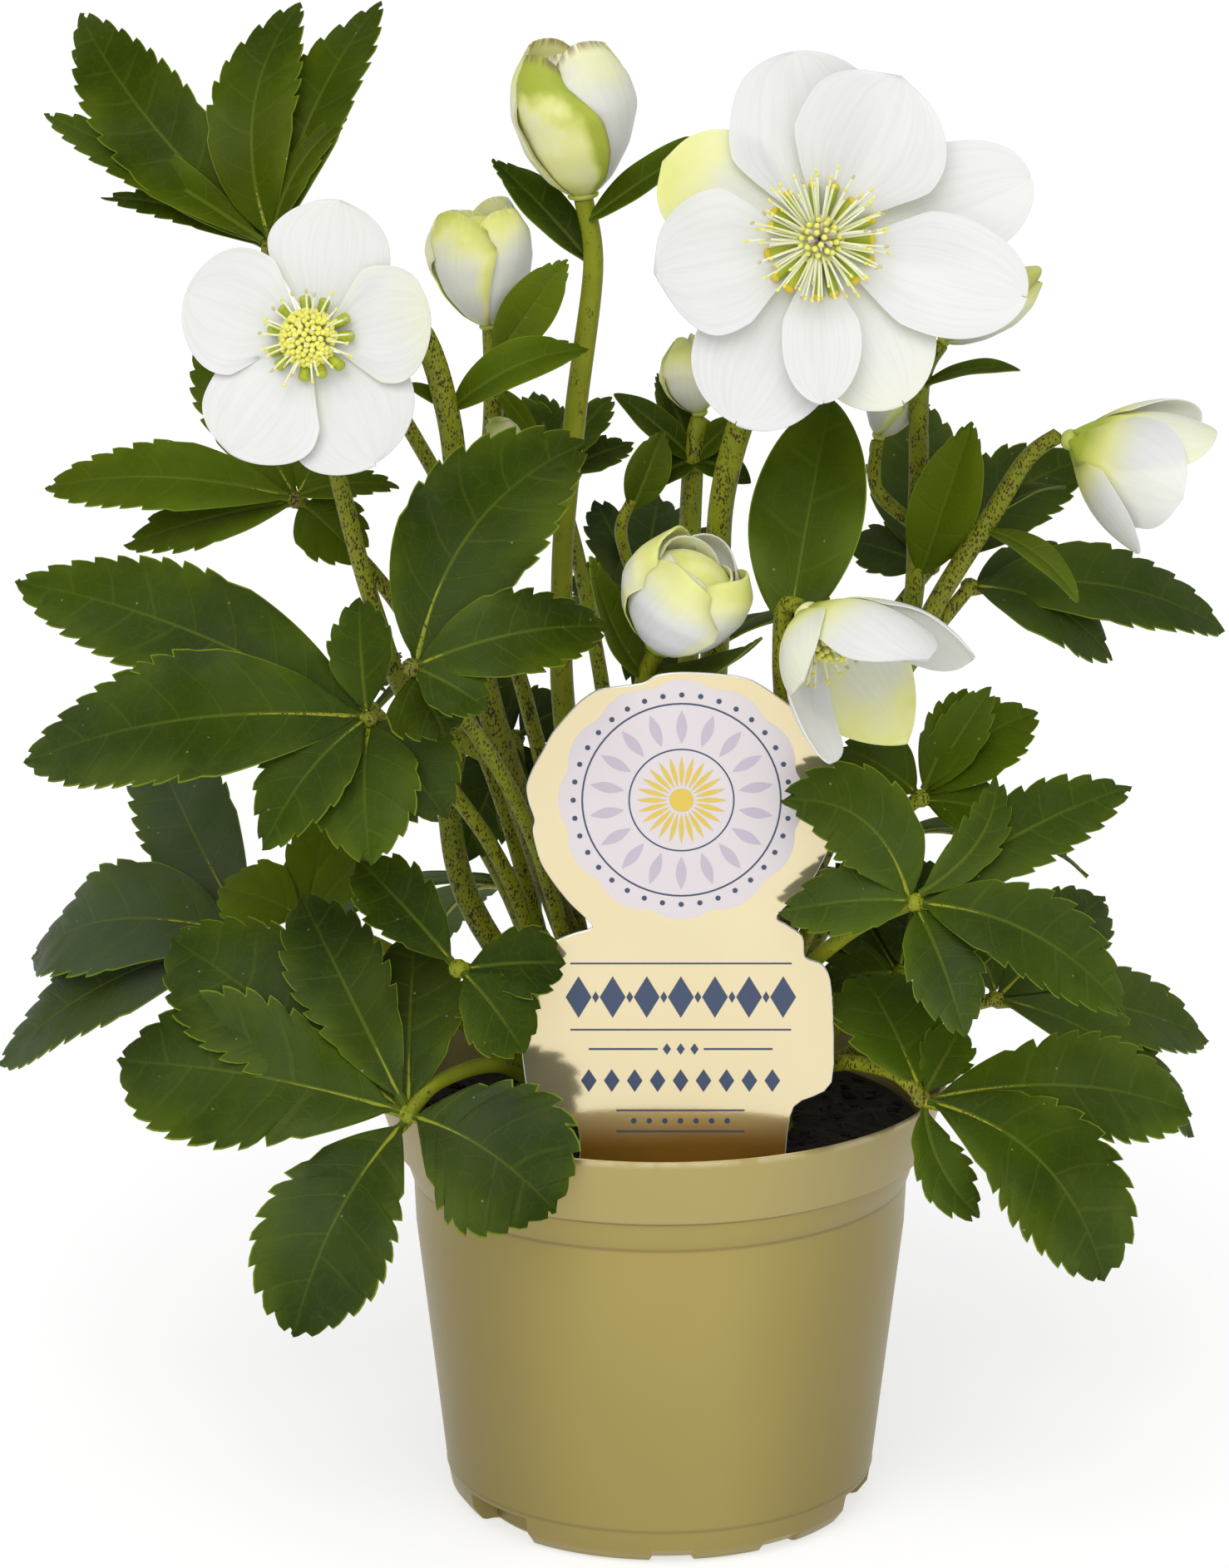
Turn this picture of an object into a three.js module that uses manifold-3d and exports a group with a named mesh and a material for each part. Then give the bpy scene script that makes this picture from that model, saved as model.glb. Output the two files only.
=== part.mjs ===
// Christmas rose (Helleborus niger) growing in a 13 cm nursery pot, with its care tag.
// Millimetres, +Z up. The origin is the centre of the pot's underside and the front looks along -Y.

import * as THREE from 'three';
import { mergeVertices } from 'three/addons/utils/BufferGeometryUtils.js';
import Module from 'manifold-3d';

const wasm = await Module();
wasm.setup();

// ---------------------------------------------------------------- driving dimensions

const RIM_RADIUS = 65; // outer radius of the rim, the pot's largest
const POT_HEIGHT = 100;
const WALL = 1.3;
const FLOOR = 2;
const POT_SIDES = 32;
const GAP = 0.35; // clearance between pieces that touch

const FOOT_NOTCH = { height: 6.5, width: 18, inner: 42.5, angles: [-140, -19, 100] };
const FOOT_RECESS = { height: 1, width: 9.5, angles: [-87, -55] };

const SOIL_TOP = 88;
const SOIL_SIDES = 16;
const SOIL_RELIEF = 1.2;
const ROOT = 9; // how far each stalk goes down into its hole

const TAG_Y = -45;
const TAG_THICKNESS = 0.8;
const TAG_FOOT = 12; // how far the tag goes down into the soil

const LEAF_THICKNESS = 0.9;
const PETAL_THICKNESS = 0.8;
const LEAF_STALK = { foot: 2.1, top: 1.6, sides: 4 };
const FLOWER_STALK_SIDES = 5;
const HUB_RADIUS = 3.4;
const LAYER = 0.75; // neighbouring leaflets leave their hub this much above or below its middle
const TOOTH_DEPTH = 0.18;

// ---------------------------------------------------------------- small helpers

const v = (x, y, z) => new THREE.Vector3(x, y, z);
const at = (a) => v(a[0], a[1], a[2]);
const degrees = (a) => (a * Math.PI) / 180;

/** Seeded random numbers from 0 to 1, so that every build is alike. */
function randomFrom(seed) {
  let state = seed >>> 0;
  return () => {
    state = (Math.imul(state, 1664525) + 1013904223) >>> 0;
    return state / 4294967296;
  };
}

function solidOf(points, triangles) {
  const mesh = new wasm.Mesh({
    numProp: 3,
    vertProperties: new Float32Array(points.flatMap((p) => [p.x, p.y, p.z])),
    triVerts: new Uint32Array(triangles.flat()),
  });
  return new wasm.Manifold(mesh);
}

/** A closed three.js geometry as a solid. */
function solidFrom(geometry) {
  const bare = geometry.clone();
  bare.deleteAttribute('normal');
  bare.deleteAttribute('uv');
  const merged = mergeVertices(bare, 1e-4);
  const points = [];
  const position = merged.getAttribute('position');
  for (let i = 0; i < position.count; i += 1) {
    points.push(new THREE.Vector3().fromBufferAttribute(position, i));
  }
  const triangles = [];
  for (let i = 0; i < merged.index.count; i += 3) {
    triangles.push([merged.index.getX(i), merged.index.getX(i + 1), merged.index.getX(i + 2)]);
  }
  return solidOf(points, triangles);
}

/** Joins solids into one. */
const join = (solids) => solids.reduce((sum, next) => sum.add(next));

/**
 * A closed skin over rings of points, each ring turning the same way round the direction of travel.
 * Strips named in `flipped` have their quads split along the other diagonal.
 */
function loft(rings, flipped = []) {
  const count = rings[0].length;
  const triangles = [];
  for (let i = 0; i + 1 < rings.length; i += 1) {
    for (let j = 0; j < count; j += 1) {
      const k = (j + 1) % count;
      const a = i * count + j;
      const b = i * count + k;
      const c = a + count;
      const d = b + count;
      if (flipped.includes(j)) {
        triangles.push([a, b, c], [b, d, c]);
      } else {
        triangles.push([a, b, d], [a, d, c]);
      }
    }
  }
  const last = (rings.length - 1) * count;
  for (let j = 1; j + 1 < count; j += 1) {
    triangles.push([0, j + 1, j]);
    triangles.push([last, last + j, last + j + 1]);
  }
  return solidOf(rings.flat(), triangles);
}

/** A smooth path through the points, as positions and directions. */
function pathThrough(points, stepsOf) {
  const stations = [];
  const spans = points.length - 1;
  const marks = [];
  for (let span = 0; span < spans; span += 1) {
    for (let i = 0; i < stepsOf(span); i += 1) marks.push([span, i / stepsOf(span)]);
  }
  marks.push([spans - 1, 1]);
  marks.forEach(([span, t]) => {
    const p1 = points[span];
    const p2 = points[span + 1];
    const p0 = points[Math.max(span - 1, 0)];
    const p3 = points[Math.min(span + 2, spans)];
    const m1 = p2.clone().sub(p0).multiplyScalar(0.5);
    const m2 = p3.clone().sub(p1).multiplyScalar(0.5);
    const t2 = t * t;
    const t3 = t2 * t;
    const position = p1.clone().multiplyScalar(2 * t3 - 3 * t2 + 1);
    position.addScaledVector(m1, t3 - 2 * t2 + t);
    position.addScaledVector(p2, 3 * t2 - 2 * t3);
    position.addScaledVector(m2, t3 - t2);
    const direction = p1.clone().multiplyScalar(6 * t2 - 6 * t);
    direction.addScaledVector(m1, 3 * t2 - 4 * t + 1);
    direction.addScaledVector(p2, 6 * t - 6 * t2);
    direction.addScaledVector(m2, 3 * t2 - 2 * t);
    stations.push({ position, direction: direction.normalize(), along: (span + t) / spans });
  });
  return stations;
}

/** A round stalk along a path, thinner towards its top. Its first two spans are straight. */
function stalk(points, { foot, top, sides }) {
  const stepsOf = (span) => (span < 2 || points.length > 6 ? 1 : 2);
  const rings = pathThrough(points, stepsOf).map(({ position, direction, along }) => {
    const across = v(0, 1, 0).cross(direction).normalize();
    const beside = direction.clone().cross(across);
    const radius = foot + (top - foot) * along;
    const ring = [];
    for (let j = 0; j < sides; j += 1) {
      const angle = (2 * Math.PI * j) / sides;
      const point = position.clone().addScaledVector(across, radius * Math.cos(angle));
      ring.push(point.addScaledVector(beside, radius * Math.sin(angle)));
    }
    return ring;
  });
  return loft(rings);
}

// ---------------------------------------------------------------- leaflets, bracts and petals

const MIDRIB_FROM = 28; // leaflets this wide or wider are folded on a midrib, narrower ones are flat

/** Half-width outlines, from 0 at the root to 1 at the tip. */
const OUTLINES = {
  leaflet: (t) => Math.sin(Math.PI * Math.max(0, (t - 0.01) / 0.99) ** 0.92) ** 0.74,
  round: (t) => Math.sin(Math.PI * Math.max(0, (t - 0.03) / 0.97) ** 1.25) ** 0.66,
  bract: (t) => Math.sin(Math.PI * t ** 0.9) ** 0.7,
  petal: (t) => Math.sqrt(Math.max(0, 1 - (2 * t ** 1.35 - 1) ** 2)) * (0.25 + 0.75 * Math.min(1, t * 2)),
};

/**
 * One blade from its root to its tip: a thin waved plate with a midrib. `face` is the side that the
 * upper surface looks to, `arch` lifts the middle of its length, `bend` moves it to the right, `fold`
 * turns both halves up, and `teeth` is how deep the notches between the marginal teeth are.
 */
function blade(root, tip, options) {
  const { width, face, arch, bend = 0, fold, outline, steps, teeth = 0, thickness, least = 0.8 } = options;
  const length = root.distanceTo(tip);
  const ribbed = width >= MIDRIB_FROM && outline !== 'petal';
  const rightward = tip.clone().sub(root).cross(face).normalize();
  const middle = root.clone().add(tip).multiplyScalar(0.5).addScaledVector(face, 2 * arch * length);
  middle.addScaledVector(rightward, 2 * bend * length);
  const rings = [];
  for (let i = 0; i <= steps; i += 1) {
    const t = outline === 'petal' ? Math.sin((Math.PI / 2) * (i / steps)) : i / steps;
    const u = 1 - t;
    const spine = root.clone().multiplyScalar(u * u);
    spine.addScaledVector(middle, 2 * u * t).addScaledVector(tip, t * t);
    const ahead = middle.clone().sub(root).multiplyScalar(u);
    ahead.addScaledVector(tip.clone().sub(middle), t).normalize();
    const side = ahead.clone().cross(face).normalize();
    const up = side.clone().cross(ahead);
    const notch = i % 2 === 0 && t > 0.3 ? 1 - teeth : 1;
    const half = Math.max(least, (width / 2) * OUTLINES[outline](t) * notch);
    const over = (offset) => {
      const edge = up.clone().multiplyScalar(Math.abs(offset) * Math.sin(fold));
      return spine.clone().addScaledVector(side, offset * Math.cos(fold)).add(edge);
    };
    const top = ribbed ? [over(-half), over(0), over(half)] : [over(-half), over(half)];
    const ring = top.map((p) => p.clone().addScaledVector(up, thickness / 2));
    const under = top.map((p) => p.clone().addScaledVector(up, -thickness / 2)).reverse();
    rings.push([...ring, ...under]);
  }
  return loft(rings, ribbed ? [1, 4] : [2]);
}

/** A small round knuckle where leaflets or petals meet. */
function knuckle(centre, radius) {
  return solidFrom(new THREE.OctahedronGeometry(radius, 0)).translate([centre.x, centre.y, centre.z]);
}

// ---------------------------------------------------------------- leaves

/**
 * Each leaf: the hole its stalk rises from, its hub, the way its face looks, any points its stalk is
 * led through, and its leaflets as [tip x, y, z from the hub, width, arch, and any sideways bend].
 */
const LEAVES = {
  left_high: {
    foot: [-11, 6], hub: [-87, 22, 285], face: [-0.3, -0.74, 0.6],
    leaflets: [[-46, 54, 45, 24, 0.08, -0.04], [-54, 46, 23, 12, 0.06], [-40, 31, 6, 8, 0.02, 0.06],
      [6, 31, 50, 22, 0.06, -0.1], [24, 34, 50, 19, 0.1, -0.02], [17, 10, 27, 9, 0.04, -0.08]],
  },
  left_upper: {
    foot: [-19, 3], hub: [-80, -8, 234], face: [-0.25, -0.66, 0.7],
    leaflets: [[-23, 34, 29, 19, 0.1], [-57, 20, -2, 19, 0.08], [-39, 11, -13, 16, 0.06],
      [23, -13, 5, 8, 0.1], [15, -11, -12, 17, 0.12], [14, 4, 17, 20, 0.1]],
  },
  left_broad: {
    foot: [-19, -6], hub: [-63, -50, 195], face: [-0.22, -0.72, 0.66],
    leaflets: [[-79, 42, 20, 29, 0.09, 0.02], [-75, 15, -14, 33, 0.1], [1, -17, -28, 26, 0.14],
      [-22, -12, -26, 21, 0.12], [17, -9, -20, 24, 0.12], [-2, 14, 23, 15, 0.06]],
  },
  left_centre: {
    foot: [-14, -12], hub: [-53, -62, 209], face: [0.1, -0.84, 0.53],
    leaflets: [[37, 31, 42, 31, 0.08, -0.12], [41, 15, 5, 20, 0.17], [7, -2, -15, 22, 0.08],
      [16, -6, -8, 14, 0.1]],
  },
  left_low_back: {
    foot: [-27, 5], hub: [-94, 8, 130], face: [-0.45, -0.5, 0.74],
    leaflets: [[-27, 69, 30, 25, 0.08], [-52, 33, -16, 33, 0.15], [-59, 21, -38, 28, 0.12]],
  },
  left_light: {
    foot: [-26, -4], hub: [-79, -14, 140], face: [-0.1, -0.7, 0.7],
    leaflets: [[5, 17, 20, 16, 0.08], [-20, 10, 4, 19, 0.1], [16, 8, 15, 12, 0.08]],
  },
  pot_left: {
    foot: [-21, -20], hub: [-55, -58, 109], face: [-0.12, -0.78, 0.61], outline: 'round',
    via: [[-34, -34, 112], [-48, -50, 114]],
    leaflets: [[-53, 32, 30, 34, 0.1], [-64, 18, 6, 38, 0.08], [-24, -22, -43, 33, 0.12, 0.04],
      [32, -10, -19, 38, 0.1, -0.05], [1, 26, 32, 26, 0.08], [-24, 27, 41, 23, 0.06]],
  },
  tag_left: {
    foot: [-9, -19], hub: [-44, -52, 140], face: [0.05, -0.8, 0.6], outline: 'round',
    leaflets: [[23, 3, 0, 18, 0.1], [14, -4, -18, 19, 0.12], [-22, 11, 21, 18, 0.08]],
  },
  tag_right: {
    foot: [13, -20], hub: [54, -56, 156], face: [0.12, -0.78, 0.61], outline: 'leaflet',
    leaflets: [[-29, 1, 22, 24, 0.08, 0.2], [18, 18, 23, 11, 0.08, 0.14], [48, 24, 19, 19, 0.08, -0.03],
      [45, -4, -24, 22, 0.14, -0.05], [10, -14, -26, 18, 0.12], [-29, 5, -4, 17, 0.08]],
  },
  pot_right: {
    foot: [22, -20], hub: [56, -56, 112], face: [0.2, -0.74, 0.64], outline: 'round',
    via: [[36, -34, 112], [49, -49, 116]],
    leaflets: [[60, 16, -9, 26, 0.14, -0.03], [39, -14, -37, 32, 0.12, -0.1], [12, -10, -24, 14, 0.1, 0.14],
      [-12, 26, 20, 26, 0.03], [9, 12, 12, 13, 0.06]],
  },
  right_low_back: {
    foot: [28, 4], hub: [77, 14, 113], face: [0.4, -0.5, 0.77],
    leaflets: [[51, 21, -17, 26, 0.12], [46, 2, -34, 20, 0.12], [27, 32, 15, 22, 0.1],
      [-12, 6, 20, 18, 0.08]],
  },
  right_mid: {
    foot: [20, -8], hub: [57, -18, 169], face: [0.15, -0.7, 0.7],
    leaflets: [[27, 20, 14, 20, 0.1, -0.06], [11, 18, 20, 12, 0.08], [16, 12, 22, 12, 0.06],
      [-18, 6, 10, 18, 0.08], [20, 5, -7, 17, 0.14]],
  },
  right_far: {
    foot: [20, 3], hub: [69, 8, 211], face: [0.2, -0.62, 0.76],
    via: [[35, 2, 154], [53, 3.6, 190]],
    leaflets: [[59, 19, -15, 23, 0.16], [32, 3, -18, 22, 0.16], [24, 18, 4, 12, 0.08]],
  },
  right_high: {
    foot: [19, 11], hub: [61, 24, 212], face: [0.08, -0.78, 0.62],
    leaflets: [[0, 27, 32, 25, 0.08, -0.06], [36, 20, 20, 22, 0.1, -0.04], [-18, 8, 4, 15, 0.08]],
  },
  mid_back: {
    foot: [3, 13], hub: [-4, 36, 202], face: [0, -0.71, 0.71],
    leaflets: [[-11, 21, 18, 14, 0.08], [4, 22, 19, 17, 0.08], [16, 19, 12, 13, 0.08],
      [-17, 10, 2, 14, 0.1], [5, -9, -25, 17, 0.1]],
  },
  mid_low_back: {
    foot: [-27, 12], hub: [-33, 24, 172], face: [0, -0.75, 0.66],
    leaflets: [[-13, 10, 16, 17, 0.08], [-12, -6, -28, 20, 0.1], [9, -8, -30, 20, 0.12],
      [13, 5, 6, 16, 0.1]],
  },
  mid_left_back: {
    foot: [-5, 12], hub: [-24, 44, 229], face: [0, -0.7, 0.72],
    leaflets: [[18, 16, 4, 10, 0.08], [13, 14, 15, 10, 0.1], [-14, 14, 15, 17, 0.08], [-5, 16, 16, 12, 0.06]],
  },
  inner_right: {
    foot: [28, -6], hub: [54, 4, 122], face: [0.1, -0.75, 0.65],
    leaflets: [[-17, 8, 23, 20, 0.08], [5, 10, 25, 20, 0.1], [24, 6, 12, 18, 0.1],
      [-18, -6, -1, 18, 0.1]],
  },
};

/** Leaves of the far side, as even fans: hole, hub, heading, rise and length of the middle leaflet. */
const BACK_LEAVES = {
  back_left: { foot: [-20, 13], hub: [-68, 62, 170], heading: 140, rise: 0.1, length: 68 },
  back_right: { foot: [24, 20], hub: [58, 64, 140], heading: 52, rise: 0, length: 54 },
  back_centre: { foot: [7, 21], hub: [12, 92, 178], heading: 88, rise: 0.2, length: 62 },
  back_low_left: { foot: [-12, 21], hub: [-38, 84, 122], heading: 112, rise: -0.15, length: 66 },
  back_low_right: { foot: [16, 27], hub: [50, 86, 118], heading: 66, rise: -0.15, length: 64 },
};
const FAN_ANGLES = [-100, -50, 0, 50, 100];

/** The straight start of a stalk, down in its hole and just above it. */
function rising([x, y]) {
  return [[x, y, SOIL_TOP - ROOT], [x, y, SOIL_TOP + 1], [x, y, SOIL_TOP + 7]];
}

function stalkPoints(foot, hub, via) {
  const height = hub[2] - SOIL_TOP;
  const between = (share, rise) => [
    foot[0] + (hub[0] - foot[0]) * share,
    foot[1] + (hub[1] - foot[1]) * share,
    SOIL_TOP + height * rise,
  ];
  const middle = via ?? [between(0.3, 0.55), between(0.66, 0.84)];
  return [...rising(foot), ...middle, hub].map(at);
}

function leafletSteps(width) {
  if (width > 30) return 6;
  return width > 22 ? 5 : 4;
}

function leaf({ foot, hub, face, via, leaflets, outline = 'leaflet' }) {
  const centre = at(hub);
  const parts = [stalk(stalkPoints(foot, hub, via), LEAF_STALK), knuckle(centre, HUB_RADIUS)];
  const upward = at(face).normalize();
  leaflets.forEach(([x, y, z, width, arch, bend = 0], i) => {
    const level = i % 2 === 0 ? -1 : 1;
    const options = { width, face: upward, outline, teeth: width > 12 ? TOOTH_DEPTH : 0 };
    options.arch = arch + 0.02 * level;
    options.bend = bend;
    options.fold = 0.14;
    options.steps = leafletSteps(width);
    options.thickness = LEAF_THICKNESS;
    const tip = centre.clone().add(v(x, y, z));
    const root = centre.clone().lerp(tip, (0.5 * HUB_RADIUS) / v(x, y, z).length());
    root.addScaledVector(upward, LAYER * level);
    parts.push(blade(root, tip, options));
  });
  return join(parts);
}

function fanLeaf({ foot, hub, heading, rise, length }) {
  const out = v(Math.cos(degrees(heading)), Math.sin(degrees(heading)), 0);
  const face = out.clone().multiplyScalar(0.45).add(v(0, 0, 1)).normalize();
  const forward = out.clone().addScaledVector(face, -out.dot(face)).normalize();
  forward.addScaledVector(face, rise).normalize();
  const leaflets = FAN_ANGLES.map((angle) => {
    const reach = length * (1 - 0.32 * Math.abs(angle) / 100);
    const tip = forward.clone().applyAxisAngle(face, degrees(angle)).multiplyScalar(reach);
    return [tip.x, tip.y, tip.z, reach * 0.32, 0.1];
  });
  return leaf({ foot, hub, face: face.toArray(), leaflets });
}

// ---------------------------------------------------------------- flower stems with bracts

/**
 * Each stem: its hole, the points it is led through up to the bloom it carries, branches that leave
 * it, and its bracts as [root, tip, width, arch, face].
 */
const STEMS = {
  stem_big: {
    foot: [4, -5],
    path: [[9, -9, 160], [12, -13, 205], [13, -17, 236], [20, -23, 263], [30, -27.5, 286],
      [32.4, -34, 294.2]],
    radii: [3.1, 2.6],
    bracts: [],
  },
  stem_second: {
    foot: [-7, -10],
    path: [[-27, -17, 155], [-38, -19, 191], [-43, -21, 222], [-46, -25, 255], [-53, -29, 276],
      [-66, -31.5, 277.5], [-73.2, -38.5, 273.9]],
    radii: [3.3, 2.2],
    branch: {
      points: [[-36, -19, 178], [-54, -26, 191], [-63, -31, 217], [-69, -34, 242], [-73, -35, 259]],
      radii: [2.2, 1.8],
    },
    bracts: [[[-45, -24, 257], [-16, -20, 269], 12, 0.16, [-0.1, -0.7, 0.7]],
      [[-45, -24, 257], [-55, -22, 262], 4, 0.04, [0, -0.7, 0.7]]],
  },
  stem_third: {
    foot: [11, -11],
    path: [[20, -20, 140], [26, -30, 180], [25.6, -37.6, 205], [26, -40.8, 216.8], [29.1, -43.9, 218]],
    radii: [2.7, 1.8],
    bracts: [[[27, -40, 212], [37, -7, 256], 26, 0.05, [-0.1, -0.8, 0.55]]],
  },
  stem_nodding: {
    foot: [12, -1],
    path: [[30, -6, 140], [46, -4, 176], [59, 0, 205], [73, 0, 229], [80.5, -0.3, 241.5], [87, -1.1, 246.7]],
    radii: [3.1, 1.8],
    bracts: [[[72, 0, 225], [91, -14, 212], 8, 0.14, [0.3, -0.6, 0.7]],
      [[74, 0, 229], [90, 12, 232], 9, 0.1, [0.2, 0.2, 0.9]]],
  },
  stem_bud_tall: {
    foot: [-4, -1], path: [[-20, -4, 172], [-22, -6, 215], [-19, -8, 252], [-15, -10, 285], [-17, -10, 300]],
    radii: [3, 2.2],
    bracts: [[[-16.5, -9, 287], [-37, 2, 307], 12, 0.03, [0.5, -0.7, 0.4]],
      [[-15.5, -12, 296], [13, -21, 316], 10, 0.03, [-0.55, -0.6, 0.6]]],
  },
  stem_bud_green: {
    foot: [-12, -2], path: [[-40, -9, 137], [-47, -9, 162], [-45, -8, 180], [-40, -6, 215], [-37, -6, 250],
      [-37, -5, 271]],
    radii: [2.9, 2.2],
    branch: { points: [[-38.5, -6.5, 229], [-32, -11, 238], [-29.4, -12.4, 246.4]], radii: [1.7, 1.2] },
    bracts: [[[-36, -7, 265], [-20.5, -19, 288.5], 12, 0.1, [0.1, -0.9, 0.4]],
      [[-36, -6, 258], [-27, -10, 247], 5, 0.06, [0.2, -0.9, 0.3]]],
  },
  stem_bud_low: {
    foot: [2, -14], path: [[-1, -20, 150], [-4, -26, 184], [-4, -30, 198], [-1, -33, 206]],
    radii: [2.4, 2],
    bracts: [[[-4, -30, 199], [-15.5, -40, 228], 12, -0.08, [0.6, -0.6, 0.5]],
      [[-3, -31, 200.5], [21, -48, 212], 10, -0.16, [-0.1, -0.4, 0.9]]],
  },
  stem_bud_centre: {
    foot: [4, 4], path: [[6, 2, 165], [6, 0, 213], [7, 0, 242], [8.5, 1, 250]],
    radii: [2.8, 2.2],
    branch: { points: [[6, 1, 204], [-4, -4, 212], [-9, -8, 226], [-6.5, -9, 234]], radii: [1.6, 1.2] },
    bracts: [[[7, 0, 241], [-10.5, -4, 256.5], 8, 0.05, [0.3, -0.8, 0.5]],
      [[7, 0, 241], [-1, 12, 258], 9, 0.05, [0.3, -0.8, 0.5]],
      [[7, 0, 241], [17, -2, 251], 7, 0.05, [-0.3, -0.8, 0.5]],
      [[7, 0, 241], [-4, -6, 236], 8, 0.1, [0, -0.7, 0.7]],
      [[7, 0, 241], [19.5, -6, 237], 8, 0.1, [0, -0.7, 0.7]],
      [[-6.5, -9, 232], [0, -8, 249], 10, 0.08, [0.2, -0.9, 0.4]]],
  },
  stem_bud_right: {
    foot: [11, 8], path: [[34, 9, 150], [54, 9, 196], [57, 9, 228], [57, 6, 256], [61, 5, 266]],
    radii: [2.6, 2],
    branch: { points: [[57, 9, 224], [48, 12, 232], [48, 12, 243]], radii: [1.8, 1.4] },
    bracts: [[[58, 8, 214], [68, -3, 250], 16, 0.04, [0, -0.9, 0.3]],
      [[57, 6, 256], [78, -6, 262], 6, 0.1, [0, -0.5, 0.85]]],
  },
};

function flowerStem({ foot, path, radii, branch, bracts }) {
  const points = [...rising(foot), ...path].map(at);
  const parts = [stalk(points, { foot: radii[0], top: radii[1], sides: FLOWER_STALK_SIDES })];
  if (branch) {
    const radius = { foot: branch.radii[0], top: branch.radii[1], sides: FLOWER_STALK_SIDES };
    parts.push(stalk(branch.points.map(at), radius));
  }
  bracts.forEach(([root, tip, width, arch, face]) => {
    const options = { width, arch, face: at(face).normalize(), fold: 0.3, outline: 'bract' };
    options.steps = width > 14 ? 6 : 3;
    options.thickness = LEAF_THICKNESS;
    parts.push(blade(at(root), at(tip), options));
  });
  return join(parts);
}

// ---------------------------------------------------------------- blooms

/** Right and up for a viewer whom the bloom faces. */
function bloomFrame(axis) {
  const right = v(0, 0, 1).cross(axis).normalize();
  return { right, up: axis.clone().cross(right) };
}

/**
 * Each open bloom: centre, the way it faces, how its petals cup, and its petals as
 * [angle round the axis, length, width, lift above the flat].
 */
const BLOOMS = {
  bloom_big: {
    centre: [32.5, -37, 295], axis: [0.03, -0.96, 0.27], cup: -0.05,
    petals: [[97, 40, 32, 0.08], [63, 39, 33, 0.26], [16, 46, 26, 0.1], [-17, 45, 26, 0.24],
      [-63, 38, 28, 0.08], [-90, 36, 17, 0.3], [-115, 42, 31, 0.1], [-168, 37, 31, 0.26],
      [152, 37, 26, -0.02]],
    stamens: { count: 15, length: 14, spread: 64, reach: 3 },
  },
  bloom_second: {
    centre: [-74, -42, 275], axis: [-0.2, -0.93, 0.3], cup: -0.06,
    petals: [[81, 30, 25, 0.1], [13, 27, 23, 0.16], [-58, 30, 26, 0.08],
      [-120, 30, 25, 0.22], [162, 28, 25, 0.34]],
    stamens: { count: 10, length: 9, spread: 62, reach: 2.4 },
  },
  bloom_third: {
    centre: [31, -45.8, 216.2], axis: [0.58, -0.6, -0.55], cup: -0.17,
    petals: [[104, 36, 27, 1.08], [34, 37, 24, 0.96], [-44, 35, 26, 0.92],
      [-108, 32, 17, 0.96], [170, 24, 22, 0.8]],
    stamens: { count: 8, length: 11, spread: 26, reach: 1.5 },
  },
  bloom_nodding: {
    centre: [90.5, -1.6, 245.5], axis: [0.93, -0.12, -0.34], cup: -0.13,
    petals: [[90, 31, 22, 1.12], [18, 30, 22, 0.94], [-54, 28, 22, 1.02],
      [-126, 28, 22, 0.88], [162, 30, 22, 1.06]],
  },
};

function petalRing({ centre, axis, cup, petals }) {
  const heart = at(centre);
  const facing = at(axis).normalize();
  const { right, up } = bloomFrame(facing);
  const parts = [stalk(
    [heart.clone().addScaledVector(facing, -1.6), heart.clone().addScaledVector(facing, 1.2)],
    { foot: 3.4, top: 4.2, sides: 6 },
  )];
  petals.forEach(([angle, length, width, lift], i) => {
    const out = right.clone().multiplyScalar(Math.cos(degrees(angle)));
    out.addScaledVector(up, Math.sin(degrees(angle)));
    const run = out.clone().multiplyScalar(Math.cos(lift)).addScaledVector(facing, Math.sin(lift));
    const face = facing.clone().multiplyScalar(Math.cos(lift)).addScaledVector(out, -Math.sin(lift));
    const root = heart.clone().addScaledVector(out, 2).addScaledVector(facing, i % 2 === 0 ? -0.7 : 0.5);
    const options = { width, face, arch: cup, fold: 0.14, outline: 'petal', steps: 4 };
    options.thickness = PETAL_THICKNESS;
    parts.push(blade(root, heart.clone().addScaledVector(run, length), options));
  });
  return join(parts);
}

/** The stamens of one bloom: clubs standing out of a short boss, in a golden-angle spiral. */
function stamenTuft({ centre, axis, stamens }) {
  const facing = at(axis).normalize();
  const { right, up } = bloomFrame(facing);
  const boss = at(centre).addScaledVector(facing, 1.2 + GAP);
  const bossRadius = { foot: stamens.reach + 0.6, top: stamens.reach + 0.2, sides: 8 };
  const parts = [stalk([boss, boss.clone().addScaledVector(facing, 3)], bossRadius)];
  for (let i = 0; i < stamens.count; i += 1) {
    const share = Math.sqrt((i + 0.5) / stamens.count);
    const angle = i * degrees(137.5);
    const radial = right.clone().multiplyScalar(Math.cos(angle)).addScaledVector(up, Math.sin(angle));
    const lean = degrees(stamens.spread) * share;
    const run = facing.clone().multiplyScalar(Math.cos(lean)).addScaledVector(radial, Math.sin(lean));
    const root = boss.clone().addScaledVector(facing, 1.8);
    root.addScaledVector(radial, stamens.reach * share * 0.8);
    const across = run.clone().cross(right).normalize();
    const beside = run.clone().cross(across);
    const reach = stamens.length * (0.86 + 0.14 * ((i * 7) % 5) / 4);
    const ring = (distance, radius) => [0, 120, 240].map((turn) => {
      const point = root.clone().addScaledVector(run, distance);
      point.addScaledVector(across, radius * Math.cos(degrees(turn)));
      return point.addScaledVector(beside, radius * Math.sin(degrees(turn)));
    });
    parts.push(loft([ring(0, 0.42), ring(reach, 1.1)]));
  }
  return join(parts);
}

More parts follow.
